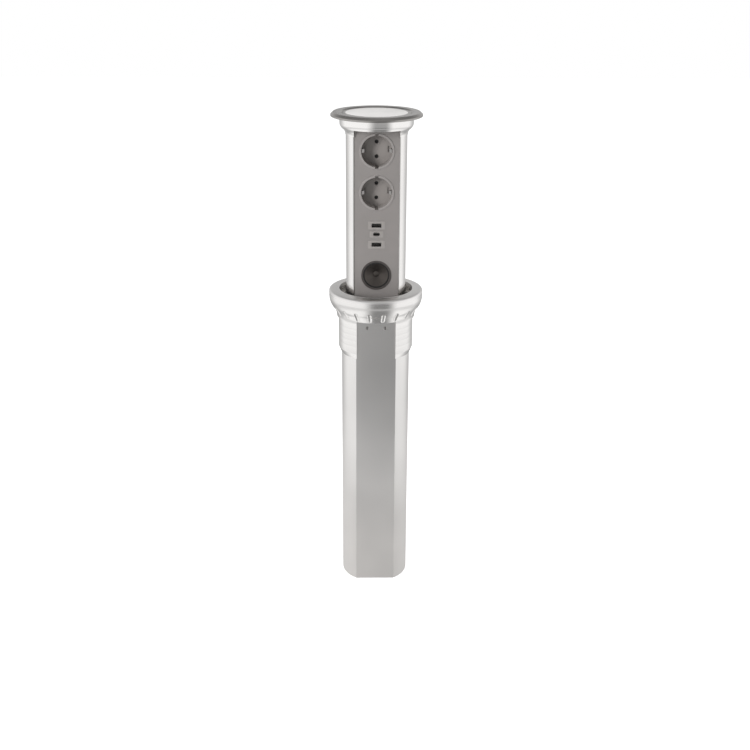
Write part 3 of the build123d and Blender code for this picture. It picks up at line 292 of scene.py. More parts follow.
# %% Shader nodes
def shade(red, green, blue):
    """A colour as it is read off a screen, 0 to 255, in the linear values that a shader takes."""
    linear = []
    for value in (red, green, blue):
        v = value / 255
        linear.append(v / 12.92 if v <= 0.04045 else ((v + 0.055) / 1.055) ** 2.4)
    return (*linear, 1.0)


def blank(name):
    """A new material with its tree, its shader and the object coordinates."""
    made = bpy.data.materials.new(name)
    made.use_nodes = True
    tree = made.node_tree
    place = tree.nodes.new("ShaderNodeTexCoord")
    return made, tree, tree.nodes["Principled BSDF"], place.outputs["Object"]


def maths(tree, operation, first, second=None):
    """One Math node; an input is a socket or a number."""
    node = tree.nodes.new("ShaderNodeMath")
    node.operation = operation
    for slot, value in zip(node.inputs, (first, second)):
        if isinstance(value, (int, float)):
            slot.default_value = value
        elif value is not None:
            tree.links.new(value, slot)
    return node.outputs[0]


def stretched(tree, place, scale):
    """Coordinates multiplied along each axis."""
    node = tree.nodes.new("ShaderNodeMapping")
    node.inputs["Scale"].default_value = scale
    tree.links.new(place, node.inputs["Vector"])
    return node.outputs[0]


def ringed(tree, place, scale_out, scale_along, axis="Z"):
    """Coordinates that only change outwards and along an axis, so noise becomes rings."""
    parts = tree.nodes.new("ShaderNodeSeparateXYZ")
    tree.links.new(place, parts.inputs[0])
    across = [parts.outputs[n] for n in "XYZ" if n != axis]
    squares = [maths(tree, "MULTIPLY", a, a) for a in across]
    radius = maths(tree, "SQRT", maths(tree, "ADD", *squares))
    joint = tree.nodes.new("ShaderNodeCombineXYZ")
    tree.links.new(maths(tree, "MULTIPLY", radius, scale_out), joint.inputs[0])
    tree.links.new(maths(tree, "MULTIPLY", parts.outputs[axis], scale_along), joint.inputs[1])
    return joint.outputs[0]


# %% [markdown]
# ### Noise and what it drives
#
# A Noise Texture's value stays near its middle, so it is spread before it drives a roughness
# or mixes two colours. Shallow depth goes through a Bump node, whose distance is a real one.


# %% Noise, ramps and bump
NOISE_LOW, NOISE_HIGH = 0.3, 0.7


def noise(tree, vector, scale, detail=2.0, roughness=0.5):
    """A Noise Texture's value."""
    node = tree.nodes.new("ShaderNodeTexNoise")
    node.inputs["Scale"].default_value = scale
    node.inputs["Detail"].default_value = detail
    node.inputs["Roughness"].default_value = roughness
    tree.links.new(vector, node.inputs["Vector"])
    return node.outputs["Fac"]


def between(tree, value, low, high):
    """Spread a noise value, which stays near its middle, between two numbers."""
    node = tree.nodes.new("ShaderNodeMapRange")
    node.inputs["From Min"].default_value = NOISE_LOW
    node.inputs["From Max"].default_value = NOISE_HIGH
    node.inputs["To Min"].default_value = low
    node.inputs["To Max"].default_value = high
    tree.links.new(value, node.inputs["Value"])
    return node.outputs[0]


def ramp(tree, value, low, high, start, end):
    """A soft step from start to end while the value goes from low to high."""
    node = tree.nodes.new("ShaderNodeMapRange")
    node.interpolation_type = "SMOOTHSTEP"
    node.inputs["From Min"].default_value = low
    node.inputs["From Max"].default_value = high
    node.inputs["To Min"].default_value = start
    node.inputs["To Max"].default_value = end
    tree.links.new(value, node.inputs["Value"])
    return node.outputs[0]


def two_tone(tree, value, dark, light):
    """Mix two colours by a noise value."""
    node = tree.nodes.new("ShaderNodeMix")
    node.data_type = "RGBA"
    node.inputs["A"].default_value = dark
    node.inputs["B"].default_value = light
    tree.links.new(between(tree, value, 0.0, 1.0), node.inputs["Factor"])
    return node.outputs["Result"]


def bumped(tree, shader, value, depth):
    """Press a noise value into the surface, to a depth in millimetres."""
    node = tree.nodes.new("ShaderNodeBump")
    node.inputs["Strength"].default_value = 1.0
    node.inputs["Distance"].default_value = depth * mm
    tree.links.new(value, node.inputs["Height"])
    tree.links.new(node.outputs[0], shader.inputs["Normal"])


# %% [markdown]
# ### Two families of finish
#
# A metal shows its grain in its roughness and in a very shallow bump, and it can grow duller
# along the tower's height. A moulding has the fine spark texture of its steel tool. Both vary a
# little in tone from place to place, because an even colour is what gives a render away.


# %% Metal and moulding
CLOUD_SCALE = (9.0, 9.0, 9.0)
SPARK_SPREAD = 0.05


def tones(tree, value, colour, tone):
    """The colour, a little darker and a little lighter by a noise value."""
    dark = tuple(c * (1 - tone) for c in colour[:3]) + (1.0,)
    light = tuple(min(1.0, c * (1 + tone)) for c in colour[:3]) + (1.0,)
    return two_tone(tree, value, dark, light)


def metal(name, colour, roughness, grain, depth, spread=0.05, tone=0.05, duller=()):
    """A metal with its grain from the function given; duller adds roughness along its height."""
    made, tree, shader, place = blank(name)
    lines = grain(tree, place)
    cloud = noise(tree, stretched(tree, place, CLOUD_SCALE), 1.0, 2.0)
    tree.links.new(tones(tree, cloud, colour, tone), shader.inputs["Base Color"])
    shader.inputs["Metallic"].default_value = 1.0
    shine = between(tree, lines, roughness - spread, roughness + spread)
    for step in duller:
        parts = tree.nodes.new("ShaderNodeSeparateXYZ")
        tree.links.new(place, parts.inputs[0])
        shine = maths(tree, "ADD", shine, ramp(tree, parts.outputs[2], *step))
    tree.links.new(shine, shader.inputs["Roughness"])
    bumped(tree, shader, lines, depth)
    return made


def moulded(name, colour, roughness, pimples=900.0, depth=0.01, tone=0.06, coat=0.0):
    """Moulded plastic or rubber with the fine spark texture of its tool."""
    made, tree, shader, place = blank(name)
    fine = noise(tree, place, pimples, 3.0, 0.6)
    cloud = noise(tree, place, 22.0, 3.0)
    tree.links.new(tones(tree, cloud, colour, tone), shader.inputs["Base Color"])
    tree.links.new(
        between(tree, fine, roughness - SPARK_SPREAD, roughness + SPARK_SPREAD),
        shader.inputs["Roughness"],
    )
    shader.inputs["Coat Weight"].default_value = coat
    bumped(tree, shader, fine, depth)
    return made


# %% [markdown]
# ### Grain
#
# The same noise becomes drawn lines when it is squeezed across the tower, and turned rings
# when it only depends on the distance from an axis. The speaker's axis is level and lies at
# the height of its middle.


# %% Grain
SPEAKER = 61.7
DRAWN_SCALE = (1500.0, 1500.0, 6.0)
RINGS_SCALE = 2500.0


def drawn_lines(tree, place):
    """Fine lines along the tower, as a drawn and brushed tube has."""
    return noise(tree, stretched(tree, place, DRAWN_SCALE), 1.0, 2.0)


def turned_lines(tree, place):
    """Fine rings round the tower's axis, as a lathe leaves them."""
    return noise(tree, ringed(tree, place, RINGS_SCALE, RINGS_SCALE), 1.0, 2.0)


def panel_turned_lines(tree, place):
    """Fine rings round a level axis through the speaker."""
    middle = tree.nodes.new("ShaderNodeMapping")
    middle.inputs["Location"].default_value = (0.0, 0.0, -SPEAKER * mm)
    tree.links.new(place, middle.inputs["Vector"])
    return noise(tree, ringed(tree, middle.outputs[0], 2600.0, 900.0, axis="Y"), 1.0, 3.0)


def plain_grain(tree, place):
    """An even, very fine grain, as on plated screws and strip."""
    return noise(tree, place, 1800.0, 2.0)


# %% [markdown]
# ### The finishes of this object
#
# The tower, neck and sleeve share one bright silver, the collar and the rim are satin, and the
# rim is clearly darker than the rest. The pad is pale and the panel a mid grey that hardly
# shines. The tube is duller under the desk and more so towards its lower end, where the flat
# shows no clear reflection any more, and the collar is duller at its lip. Each pair of heights
# in metres has the roughness that is added below and above it.

# %% Finishes
finishes = {
    "satin_metal": metal("satin_turned_metal", shade(245, 243, 241), 0.20, turned_lines, 0.002,
                         duller=[(0.031, 0.036, 0.0, 0.22)]),
    "silver_tube": metal("bright_drawn_tube", shade(246, 244, 242), 0.18, drawn_lines, 0.0006,
                         spread=0.0, duller=[(0.002, 0.006, 0.097, 0.0),
                                             (-0.36, -0.06, 0.56, 0.0)]),
    "bright_metal": metal("polished_funnel", shade(247, 245, 243), 0.14, turned_lines, 0.001),
    "rim_metal": metal("dark_turned_rim", shade(170, 167, 164), 0.28, turned_lines, 0.003),
    "dark_metal": moulded("speaker_trim_black", shade(66, 62, 60), 0.50),
    "cone_metal": metal("spun_cone", shade(104, 99, 95), 0.50, panel_turned_lines, 0.01),
    "dark_steel": metal("blackened_steel", shade(96, 94, 92), 0.35, plain_grain, 0.003),
    "screw_steel": metal("plated_screw", shade(178, 176, 174), 0.28, plain_grain, 0.003),
    "port_steel": metal("plain_steel_strip", shade(176, 174, 172), 0.40, plain_grain, 0.002),
    "brass": metal("contact_brass", shade(214, 176, 100), 0.28, plain_grain, 0.003),
    "copper": metal("copper_winding", shade(196, 122, 82), 0.30, turned_lines, 0.03),
    "ferrite": moulded("grey_ferrite", shade(70, 70, 72), 0.55, pimples=1500.0),
    "circuit_board": moulded("green_board", shade(38, 96, 58), 0.35, pimples=400.0, coat=0.4),
    "component_black": moulded("black_component", shade(42, 41, 40), 0.45),
    "black_plastic": moulded("black_moulding", shade(40, 39, 38), 0.48, depth=0.02),
    "insulator_white": moulded("white_insulator", shade(222, 221, 217), 0.42),
    "panel_grey": moulded("panel_mid_grey", shade(127, 123, 121), 0.46, depth=0.008),
    "socket_grey": moulded("socket_cup_grey", shade(138, 133, 130), 0.42, depth=0.004),
    "socket_ring": moulded("socket_ring_grey", shade(134, 130, 128), 0.55, depth=0.003),
    "bezel_grey": moulded("port_bezel_grey", shade(140, 136, 133), 0.40, depth=0.003),
    "pad_white": moulded("pale_pad", shade(234, 232, 230), 0.38, pimples=700.0, depth=0.012),
    "black_rubber": moulded("soft_black_rubber", shade(33, 32, 31), 0.62, pimples=600.0,
                            depth=0.03),
}
slot_of = {s["node"]: s["material_slot"] for s in frame["record"]["subparts"]}
for node_name, node in frame["nodes"].items():
    node.data.materials.clear()
    node.data.materials.append(finishes[slot_of[node_name]])
print("finishes", len(finishes))

# %% [markdown]
# ### Placing a piece
#
# Each dressed piece takes the place of one machined piece and rides on the same body, so that
# it moves along when a joint moves. One helper does this in one order, so no step is forgotten.


# %% Placing a piece
def dress(piece, node_name, body, angle=28.0):
    """Finish a piece, let it ride on its body, and let it stand for its node."""
    soften(piece, angle)
    piece.data.materials.clear()
    piece.data.materials.append(finishes[slot_of[node_name]])
    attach(piece, body)
    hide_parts(node_name)
    print(node_name, "on", body, "has", len(piece.data.polygons), "faces")
    return piece


# %% [markdown]
# ## Cap: rim and charging pad
#
# A bevelled aluminium rim holds a pale round pad that a phone is laid on. The rim stands one
# millimetre above the pad, falls away in a bevel on the outside, and turns under to a thin lip.
# A flat ring of the rim's own metal is let into the edge of the pad, so the pale face looks
# smaller than the pad is. All three are turned, with a narrow gap between them, because that
# dark line is what tells the eye that they are separate pieces.

# %% Rim, pad and ring
RIM_TOP, RIM_LOW = 272.0, 266.4
PAD_TOP, PAD_SHOULDER, PAD_LOW = 271.0, 270.4, 268.0
PAD_RADIUS, PAD_FACE_RADIUS = 44.6, 40.4
RIM_RADIUS, RIM_BORE, RIM_INSIDE = 59.5, 44.8, 39.0
CAP_STEPS = 240
rim_outline = rounded(
    [
        (RIM_INSIDE, PAD_LOW, 0.0),
        (RIM_BORE, PAD_LOW, 0.1),
        (RIM_BORE, 270.7, 0.2),
        (47.0, RIM_TOP, 0.5),
        (56.3, RIM_TOP, 1.1),
        (RIM_RADIUS, 269.0, 0.5),
        (RIM_RADIUS, 267.0, 0.3),
        (58.3, RIM_LOW, 0.2),
        (44.4, RIM_LOW, 0.0),
        (44.4, 258.0, 0.0),
        (RIM_INSIDE, 258.0, 0.0),
    ],
    0.3,
    5,
)
dress(lathe("rim_turned", rim_outline, CAP_STEPS), "cap_rim", "tower")
pad_outline = rounded(
    [(0.0, PAD_LOW, 0.0), (PAD_RADIUS, PAD_LOW, 0.2), (PAD_RADIUS, PAD_SHOULDER, 0.1),
     (PAD_FACE_RADIUS, PAD_SHOULDER, 0.0), (PAD_FACE_RADIUS, PAD_TOP, 0.35), (0.0, PAD_TOP, 0.0)],
    0.3,
    6,
)
dress(lathe("pad_disc", pad_outline, CAP_STEPS), "charging_pad", "tower")
TRIM_BORE = 40.5
trim_corners = [(TRIM_BORE, PAD_SHOULDER), (PAD_RADIUS, PAD_SHOULDER), (PAD_RADIUS, PAD_TOP),
                (TRIM_BORE, PAD_TOP)]
dress(lathe("pad_ring", rounded(trim_corners, 0.15, 4), CAP_STEPS), "pad_trim_ring", "tower")

# %% [markdown]
# ## Top neck: drum and funnel
#
# Below the rim the tower narrows in a polished funnel. Its curve is two arcs that meet without
# a kink, which is why its reflection runs on smoothly. The shell below has a flat front, so the
# funnel's lower skirt is milled away there, and the top edge of the panel shows straight.
# The curve is drawn as points first and the flat is then cut, in the order of the real work.


# %% Funnel
def s_curve(foot_radius, foot, head_radius, head, lower_share=0.5, steps=22):
    """Two arcs that lead from one upright line to another further out, (radius, z) points."""
    side, rise = head_radius - foot_radius, head - foot
    bend = 2 * math.atan(side / rise)
    radii = rise / math.sin(bend)
    lower, upper = radii * lower_share, radii * (1 - lower_share)
    made = []
    for step in range(steps + 1):
        a = bend * step / steps
        made.append((foot_radius + lower * (1 - math.cos(a)), foot + lower * math.sin(a)))
    for step in range(1, steps + 1):
        a = bend * (1 - step / steps)
        made.append((head_radius - upper * (1 - math.cos(a)), head - upper * math.sin(a)))
    return made


SKIRT_RADIUS, SKIRT_LOW = 40.5, 244.0
DRUM_RADIUS, DRUM_LOW = 48.0, 258.6
SHELL_TOP = 253.0
PANEL_HALF, PANEL_FRONT = 29.4, -25.9
funnel_outline = (
    [(40.0, SKIRT_LOW)]
    + s_curve(SKIRT_RADIUS, SKIRT_LOW, DRUM_RADIUS, DRUM_LOW)
    + [(DRUM_RADIUS, 266.2), (47.8, RIM_LOW), (44.5, RIM_LOW), (44.5, 258.0), (38.0, 258.0),
       (38.0, SHELL_TOP), (40.0, SHELL_TOP)]
)
funnel = lathe("funnel_turned", funnel_outline, CAP_STEPS)
flat_cutter = brick("flat_cutter", (-PANEL_HALF, -60, 240), (PANEL_HALF, PANEL_FRONT, SHELL_TOP))
cut_away(funnel, flat_cutter)
dress(funnel, "top_neck", "tower")

# %% [markdown]
# ## Tower shell
#
# The shell is one extruded section: a round tube that is open at the front, where two slots
# carry the panel and a narrow lip shows on each side. An extrusion is an outline stood up, so
# the outline is drawn once with the small radii that a die has, and raised.


# %% Shell
def round_back(radius, front, steps=96):
    """Points of a circle's back, from the right front corner round to the left one."""
    first = -math.asin(front / radius)
    last = math.pi - first
    return [
        (radius * math.cos(first + (last - first) * i / steps),
         radius * math.sin(first + (last - first) * i / steps))
        for i in range(steps + 1)
    ]


def d_outline(radius, front, edge=0.4, steps=96):
    """A circle with a flat front, its two front corners rounded a little."""
    ring = round_back(radius, front, steps)
    return rounded([(*ring[0], edge), *[(*p, 0.0) for p in ring[1:-1]], (*ring[-1], edge)], edge)


SHELL_RADIUS, SHELL_BORE = 39.9, 37.7
SEAT, SEAT_BACK, SEAT_HALF = -22.5, -19.8, 27.0
SHELL_LOW, SHELL_HIGH = -30.3, 252.9
outside = round_back(SHELL_RADIUS, -PANEL_FRONT)
inside = round_back(SHELL_BORE, -SEAT_BACK)
right_seat = [(SEAT_HALF, SEAT_BACK, 0.0), (SEAT_HALF, SEAT, 0.1), (PANEL_HALF, SEAT, 0.1),
              (PANEL_HALF, PANEL_FRONT, 0.25)]
left_seat = [(-x, y, edge) for x, y, edge in reversed(right_seat)]
shell_outline = (
    [(*outside[0], 0.3)]
    + [(*p, 0.0) for p in outside[1:-1]]
    + [(*outside[-1], 0.3)]
    + left_seat
    + [(*p, 0.0) for p in reversed(inside)]
    + right_seat
)
shell = prism("shell_extrusion", rounded(shell_outline, 0.3, 3), SHELL_LOW, SHELL_HIGH)
dress(shell, "tower_shell", "tower")

# %% [markdown]
# ## Socket rings
#
# Each socket has a grey ring that stands a little proud of the panel, with a notch at the top
# and at the bottom. The ring is turned about an axis that points out of the panel, and the
# notches are cut afterwards.

# %% Rings round the sockets
SOCKETS = {"upper": 225.4, "lower": 171.7}
RING_RADIUS, RING_HUB, RING_BORE = 22.9, 21.1, 20.0
RING_FACE, PANEL_FACE = -25.7, -24.9
NOTCH_HALF, NOTCH_REACH = 2.3, 22.1
ring_outline = rounded(
    [
        (RING_BORE, RING_FACE, 0.25),
        (RING_RADIUS, RING_FACE, 0.45),
        (RING_RADIUS, PANEL_FACE, 0.05),
        (RING_HUB, PANEL_FACE, 0.0),
        (RING_HUB, -22.5, 0.0),
        (RING_BORE, -22.5, 0.0),
    ],
    0.2,
    4,
)
for place, height in SOCKETS.items():
    ring = lathe(f"{place}_ring_turned", ring_outline, 144, height)
    notch = brick("notch", (-NOTCH_HALF, -27, height - NOTCH_REACH),
                  (NOTCH_HALF, -22, height + NOTCH_REACH))
    cut_away(ring, notch)
    dress(ring, f"{place}_socket_ring", "tower")

# %% [markdown]
# ## Speaker
#
# The dark round thing at the foot of the panel is read as a small speaker. From the outside in
# it has a black trim ring, a half-round rubber surround, a spun metal cone with fine rings, and
# a small dark cap in the middle. All four are turned about the same level axis. The rings of
# the cone are real ridges of a few hundredths of a millimetre, so that they also survive in the
# exported mesh.

# %% Speaker basket
SPEAKER_STEPS = 144
trim_outline = rounded(
    [
        (17.4, -25.6, 0.4),
        (19.9, -25.6, 0.5),
        (19.9, PANEL_FACE, 0.05),
        (19.0, PANEL_FACE, 0.0),
        (19.0, -15.5, 0.3),
        (12.5, -8.0, 0.0),
        (8.0, -8.0, 0.0),
        (8.0, -9.0, 0.0),
        (11.5, -9.0, 0.0),
        (18.0, -15.5, 0.3),
        (18.0, -24.6, 0.0),
        (17.4, -24.6, 0.1),
    ],
    0.3,
    4,
)
dress(lathe("speaker_trim", trim_outline, SPEAKER_STEPS, SPEAKER), "speaker_basket", "tower")

# %% Speaker surround
ROLL_MIDDLE, ROLL_HALF, ROLL_RISE = 16.4, 0.95, 0.9
ROLL_FOOT, CONE_EDGE = -24.6, -24.2
front_roll = [
    (ROLL_MIDDLE - ROLL_HALF * math.cos(math.pi * i / 14),
     ROLL_FOOT - ROLL_RISE * math.sin(math.pi * i / 14))
    for i in range(15)
]
surround_outline = front_roll + [(17.9, ROLL_FOOT), (17.9, CONE_EDGE), (15.45, CONE_EDGE)]
dress(lathe("speaker_roll", surround_outline, SPEAKER_STEPS, SPEAKER), "speaker_surround",
      "tower")

# %% Speaker cone and dust cap
CONE_RIDGES, RIDGE_HEIGHT = 15, 0.05
CONE_RADIUS, CONE_FLANGE, DUST_RADIUS = 15.2, 16.0, 4.2
CONE_DEPTH, CONE_WALL = 6.7, 0.5
cone_front, cone_back = [], []
for i in range(CONE_RIDGES * 6 + 1):
    share = i / (CONE_RIDGES * 6)
    radius = CONE_RADIUS + (DUST_RADIUS - CONE_RADIUS) * share
    depth = CONE_EDGE + CONE_DEPTH * share
    ridge = RIDGE_HEIGHT * math.sin(2 * math.pi * share * CONE_RIDGES)
    cone_front.append((radius, depth + ridge))
    cone_back.append((radius, depth + CONE_WALL))
cone_outline = (
    [(CONE_FLANGE, CONE_EDGE)] + cone_front + cone_back[::-1]
    + [(CONE_FLANGE, CONE_EDGE + CONE_WALL)]
)
dress(lathe("speaker_cone_spun", cone_outline, SPEAKER_STEPS, SPEAKER), "speaker_cone",
      "tower", 60.0)

DUST_FOOT, DUST_RISE = -17.5, 1.4
dome = [
    (DUST_RADIUS * math.cos(math.pi / 2 * i / 12),
     DUST_FOOT - DUST_RISE * math.sin(math.pi / 2 * i / 12))
    for i in range(13)
]
dress(lathe("speaker_dome", [(0.0, DUST_FOOT)] + dome, 96, SPEAKER), "speaker_dust_cap", "tower")

# %% [markdown]
# ## Collar
#
# The collar rests on the desk. Its outside is a bell like the funnel above, polished, with a
# ring of short upright slots, and its top falls outwards a little. The mouth is wide enough for
# the funnel to sink in when the tower is pushed down.
# The slots are hollow like flutes and follow the bell, so each one squeezes the whole room into
# its width: it looks bright where the bell is dark, and has a dark line where the bell is bright.
# A bump in the material would be quicker, but it would leave no edge in the mesh.

# %% Collar's outline
COLLAR_TOP, LIP_SLOPE, LIP_ROUND = 39.7, 12, 3.0
LIP_RADIUS, MOUTH_RADIUS, FOOT_RADIUS = 63.0, 49.2, 52.8
BELL_HIGH, BELL_LOWER_SHARE = 28.0, 0.45
LEDGE_TOP, LEDGE_LOW = 16.0, 12.0
bell_curve = s_curve(FOOT_RADIUS, 0.0, LIP_RADIUS, BELL_HIGH, BELL_LOWER_SHARE, 28)
lip_turn = math.radians(90 - LIP_SLOPE)
edge_reach = LIP_ROUND * (1 - math.cos(lip_turn))
top_fall = (LIP_RADIUS - edge_reach - MOUTH_RADIUS) * math.tan(math.radians(LIP_SLOPE))
lip_height = COLLAR_TOP - top_fall - LIP_ROUND * math.sin(lip_turn)
lip_arc = [
    (LIP_RADIUS - LIP_ROUND * (1 - math.cos(lip_turn * i / 10)),
     lip_height + LIP_ROUND * math.sin(lip_turn * i / 10))
    for i in range(11)
]
# The last point stands for the lip next to the first corner, and is left off again
mouth = rounded(
    [
        (MOUTH_RADIUS, COLLAR_TOP, 0.7),
        (MOUTH_RADIUS, LEDGE_TOP, 0.3),
        (44.5, LEDGE_TOP, 0.2),
        (44.5, LEDGE_LOW, 0.0),
        (48.3, LEDGE_LOW, 0.0),
        (48.3, 0.0, 0.0),
        (FOOT_RADIUS, 0.0, 0.0),
        (LIP_RADIUS, 20.0, 0.0),
    ],
    0.3,
    5,
)[:-1]
collar = lathe("collar_turned", bell_curve[1:] + lip_arc + mouth, 360)
print("the collar's top falls", round(top_fall, 2), "mm outwards")


# %% Slots round the collar
def bell_radius(z):
    """The bell's radius at a height, read off its curve."""
    for (r0, z0), (r1, z1) in zip(bell_curve, bell_curve[1:]):
        if z0 <= z <= z1:
            return r0 + (r1 - r0) * (z - z0) / (z1 - z0)
    return bell_curve[-1][0]


SLOTS = 20
SLOT_LOW, SLOT_HIGH = 4.5, 18.0
SLOT_HALF, SLOT_DEPTH = 3.0, 1.2
SLOT_END_SHARE, PAST_THE_LIP = 0.3, 66.0
hollow = (SLOT_HALF ** 2 + SLOT_DEPTH ** 2) / (2 * SLOT_DEPTH)


def slot_tool(number, rows=14, across_steps=10):
    """A cutter with a hollow section that follows the bell and runs out at both ends."""
    angle = math.radians(360 / SLOTS * (number + 0.5) - 90)
    c, s = math.cos(angle), math.sin(angle)
    verts, faces = [], []
    for row in range(rows + 1):
        z = SLOT_LOW + (SLOT_HIGH - SLOT_LOW) * row / rows
        end = min(z - SLOT_LOW, SLOT_HIGH - z, SLOT_HALF) / SLOT_HALF
        narrow = max(SLOT_END_SHARE, math.sqrt(1 - (1 - end) ** 2))
        section = []
        for step in range(across_steps + 1):
            across = SLOT_HALF * (2 * step / across_steps - 1)
            depth = math.sqrt(hollow ** 2 - across ** 2) - (hollow - SLOT_DEPTH)
            section.append((across * narrow, bell_radius(z) - depth * narrow))
        section += [(SLOT_HALF * narrow, PAST_THE_LIP), (-SLOT_HALF * narrow, PAST_THE_LIP)]
        verts += [(r * c - a * s, r * s + a * c, z) for a, r in section]
    count = across_steps + 3
    for row in range(rows):
        for i in range(count):
            j = (i + 1) % count
            faces.append((row * count + i, row * count + j,
                          (row + 1) * count + j, (row + 1) * count + i))
    faces.append(tuple(range(count)))
    faces.append(tuple(range(rows * count, (rows + 1) * count)))
    made = as_object(f"slot_{number}", verts, faces)
    outward(made)
    return made


WINDOW_HALF, WINDOW_TOP, OUT_FRONT = 26, 3.5, -70
cut_away(collar, joined("slot_tools", [slot_tool(number) for number in range(SLOTS)]))
cut_away(collar, brick("window_tool", (-WINDOW_HALF, OUT_FRONT, -1), (WINDOW_HALF, 0, WINDOW_TOP)))
dress(collar, "mounting_collar", "desk_unit")

# %% [markdown]
# ## Neck in the desk
#
# The neck goes through the hole in the desk, where it is held from below. Only shallow rings
# show on it, so they are turned into its outline instead of a full screw thread. A wide window
# at the front lets the flat of the sleeve run up to the collar.

# %% Neck
NECK_RADIUS, NECK_BORE, GROOVE_RADIUS = 50.4, 46.4, 50.3
NECK_HIGH, NECK_SEAT_RADIUS = 8.0, 48.2
NECK_STRAIGHT_LOW, NECK_LOW, NECK_LOW_RADIUS = -43.5, -51.0, 47.1
GROOVES, FIRST_GROOVE, GROOVE_STEP = 4, -9.0, 8.0
neck_points = [(NECK_BORE, NECK_HIGH, 0.0), (NECK_SEAT_RADIUS, NECK_HIGH, 0.0),
               (NECK_SEAT_RADIUS, 0.0, 0.0), (NECK_RADIUS, 0.0, 0.1)]
for groove in range(GROOVES):
    top = FIRST_GROOVE - GROOVE_STEP * groove
    neck_points += [(NECK_RADIUS, top, 0.3), (GROOVE_RADIUS, top - 0.3, 0.3),
                    (GROOVE_RADIUS, top - 0.9, 0.3), (NECK_RADIUS, top - 1.2, 0.3)]
neck_points += [(NECK_RADIUS, NECK_STRAIGHT_LOW, 0.5), (NECK_LOW_RADIUS, NECK_LOW, 0.2),
                (NECK_BORE, NECK_LOW, 0.1)]
neck = lathe("neck_turned", rounded(neck_points, 0.2, 4), 240)
cut_away(neck, brick("window_tool", (-WINDOW_HALF, OUT_FRONT, -53), (WINDOW_HALF, 0, WINDOW_TOP)))
dress(neck, "threaded_neck", "desk_unit")

# %% [markdown]
# ## Sleeve and its screws
#
# The sleeve that hangs under the desk is a drawn tube with one flat side. It is an outline with
# a hole in it, so the wall is built as one strip that runs round the outside and back along the
# inside. Two small screws sit near the top of its flat.


# %% Sleeve
def tube(name, outer, inner, low, high):
    """A tube between two outlines with equally many points."""
    count = len(outer)
    verts = []
    for z in (low, high):
        verts += [(x, y, z) for x, y in outer]
        verts += [(x, y, z) for x, y in inner]
    faces = []
    for i in range(count):
        j = (i + 1) % count
        o0, o1, i0, i1 = i, j, count + i, count + j
        top = 2 * count
        faces.append((o0, o1, top + o1, top + o0))
        faces.append((i1, i0, top + i0, top + i1))
        faces.append((o1, o0, i0, i1))
        faces.append((top + o0, top + o1, top + i1, top + i0))
    made = as_object(name, verts, faces)
    outward(made)
    return made


SLEEVE_RADIUS, SLEEVE_FLAT = 46.3, 37.8
SLEEVE_BORE, BORE_FLAT = 44.1, 35.6
SLEEVE_LOW, SLEEVE_HIGH, FLAT_EDGE = -389.0, 8.0, 0.8
sleeve = tube(
    "sleeve_drawn",
    d_outline(SLEEVE_RADIUS, SLEEVE_FLAT, FLAT_EDGE, 144),
    d_outline(SLEEVE_BORE, BORE_FLAT, FLAT_EDGE, 144),
    SLEEVE_LOW,
    SLEEVE_HIGH,
)
dress(sleeve, "outer_sleeve", "desk_unit", 20.0)

# %% Screws in the sleeve's flat
SCREW_X, SCREW_HEIGHT = 12.0, -8.0
HEAD_RADIUS, SHANK_RADIUS, SHANK_END = 2.3, 1.25, -29.8
ARM, ARM_HALF_WIDTH, ARM_FLOOR = 1.4, 0.25, -38.7
head_outline = rounded(
    [(0.0, -39.35, 0.0), (1.5, -39.3, 0.3), (HEAD_RADIUS, -38.6, 0.5),
     (HEAD_RADIUS, -SLEEVE_FLAT, 0.1), (SHANK_RADIUS, -SLEEVE_FLAT, 0.0),
     (SHANK_RADIUS, SHANK_END, 0.2), (0.0, SHANK_END, 0.0)],
    0.2,
    4,
)
screw_pieces = []
for side, x in (("left", -SCREW_X), ("right", SCREW_X)):
    screw = lathe(f"pan_screw_{side}", head_outline, 48, SCREW_HEIGHT)
    screw.data.transform(Matrix.Translation((x * mm, 0, 0)))
    for wide, tall in ((ARM, ARM_HALF_WIDTH), (ARM_HALF_WIDTH, ARM)):
        arm = brick("cross_slot", (x - wide, -40, SCREW_HEIGHT - tall),
                    (x + wide, ARM_FLOOR, SCREW_HEIGHT + tall))
        cut_away(screw, arm)
    screw_pieces.append(screw)
dress(joined("sleeve_pan_screws", screw_pieces), "sleeve_screws", "desk_unit")

# %% [markdown]
# ## The room that the metal shows
#
# Polished metal shows its surroundings rather than its own colour, so the surroundings are
# what is lit. The world is a pale studio at both sides. A darker strip stands in front, where
# the photographer would be, and gives funnel, collar and sleeve the soft dark line down their
# middle. The back and the ceiling are darker too: they draw the grey line along each outer edge,
# which keeps a silver thing apart from a white ground. Towards the camera itself the world is
# plain white.
# A picture of a studio would be quicker to load, but a few soft steps can be moved one by one.
# Each step has two bounds, and the brightness before and after them. Its bounds by height are
# the up and down part of the direction, from -1 to 1.

# %% World's steps
STRIP_SHAPE = (0.45, 1.55, 1.0, 0.0)
STRIP_MIDDLE, STRIP_MIDDLE_LEAN = 0.08, -0.13
STRIP_WIDTH, STRIP_WIDTH_LEAN = 0.27, -0.25
STRIP_GROUND = (-0.66, -0.51, 0.24, 0.48)
STRIP_LOW = (-0.48, -0.33, 0.48, 0.18)
STRIP_HIGH = (-0.27, -0.13, 0.17, 0.42)
SIDES_GROUND = (-0.74, -0.50, 0.96, 0.70)
SIDES_LOW = (-0.50, -0.28, 0.70, 0.96)
SIDES_CEILING = (0.20, 0.70, 1.0, 0.35)
BACK_SHAPE = (0.40, 0.90, 0.0, 1.0)
BACK_DARKER = (0.0, 0.2, 0.46, 0.22)


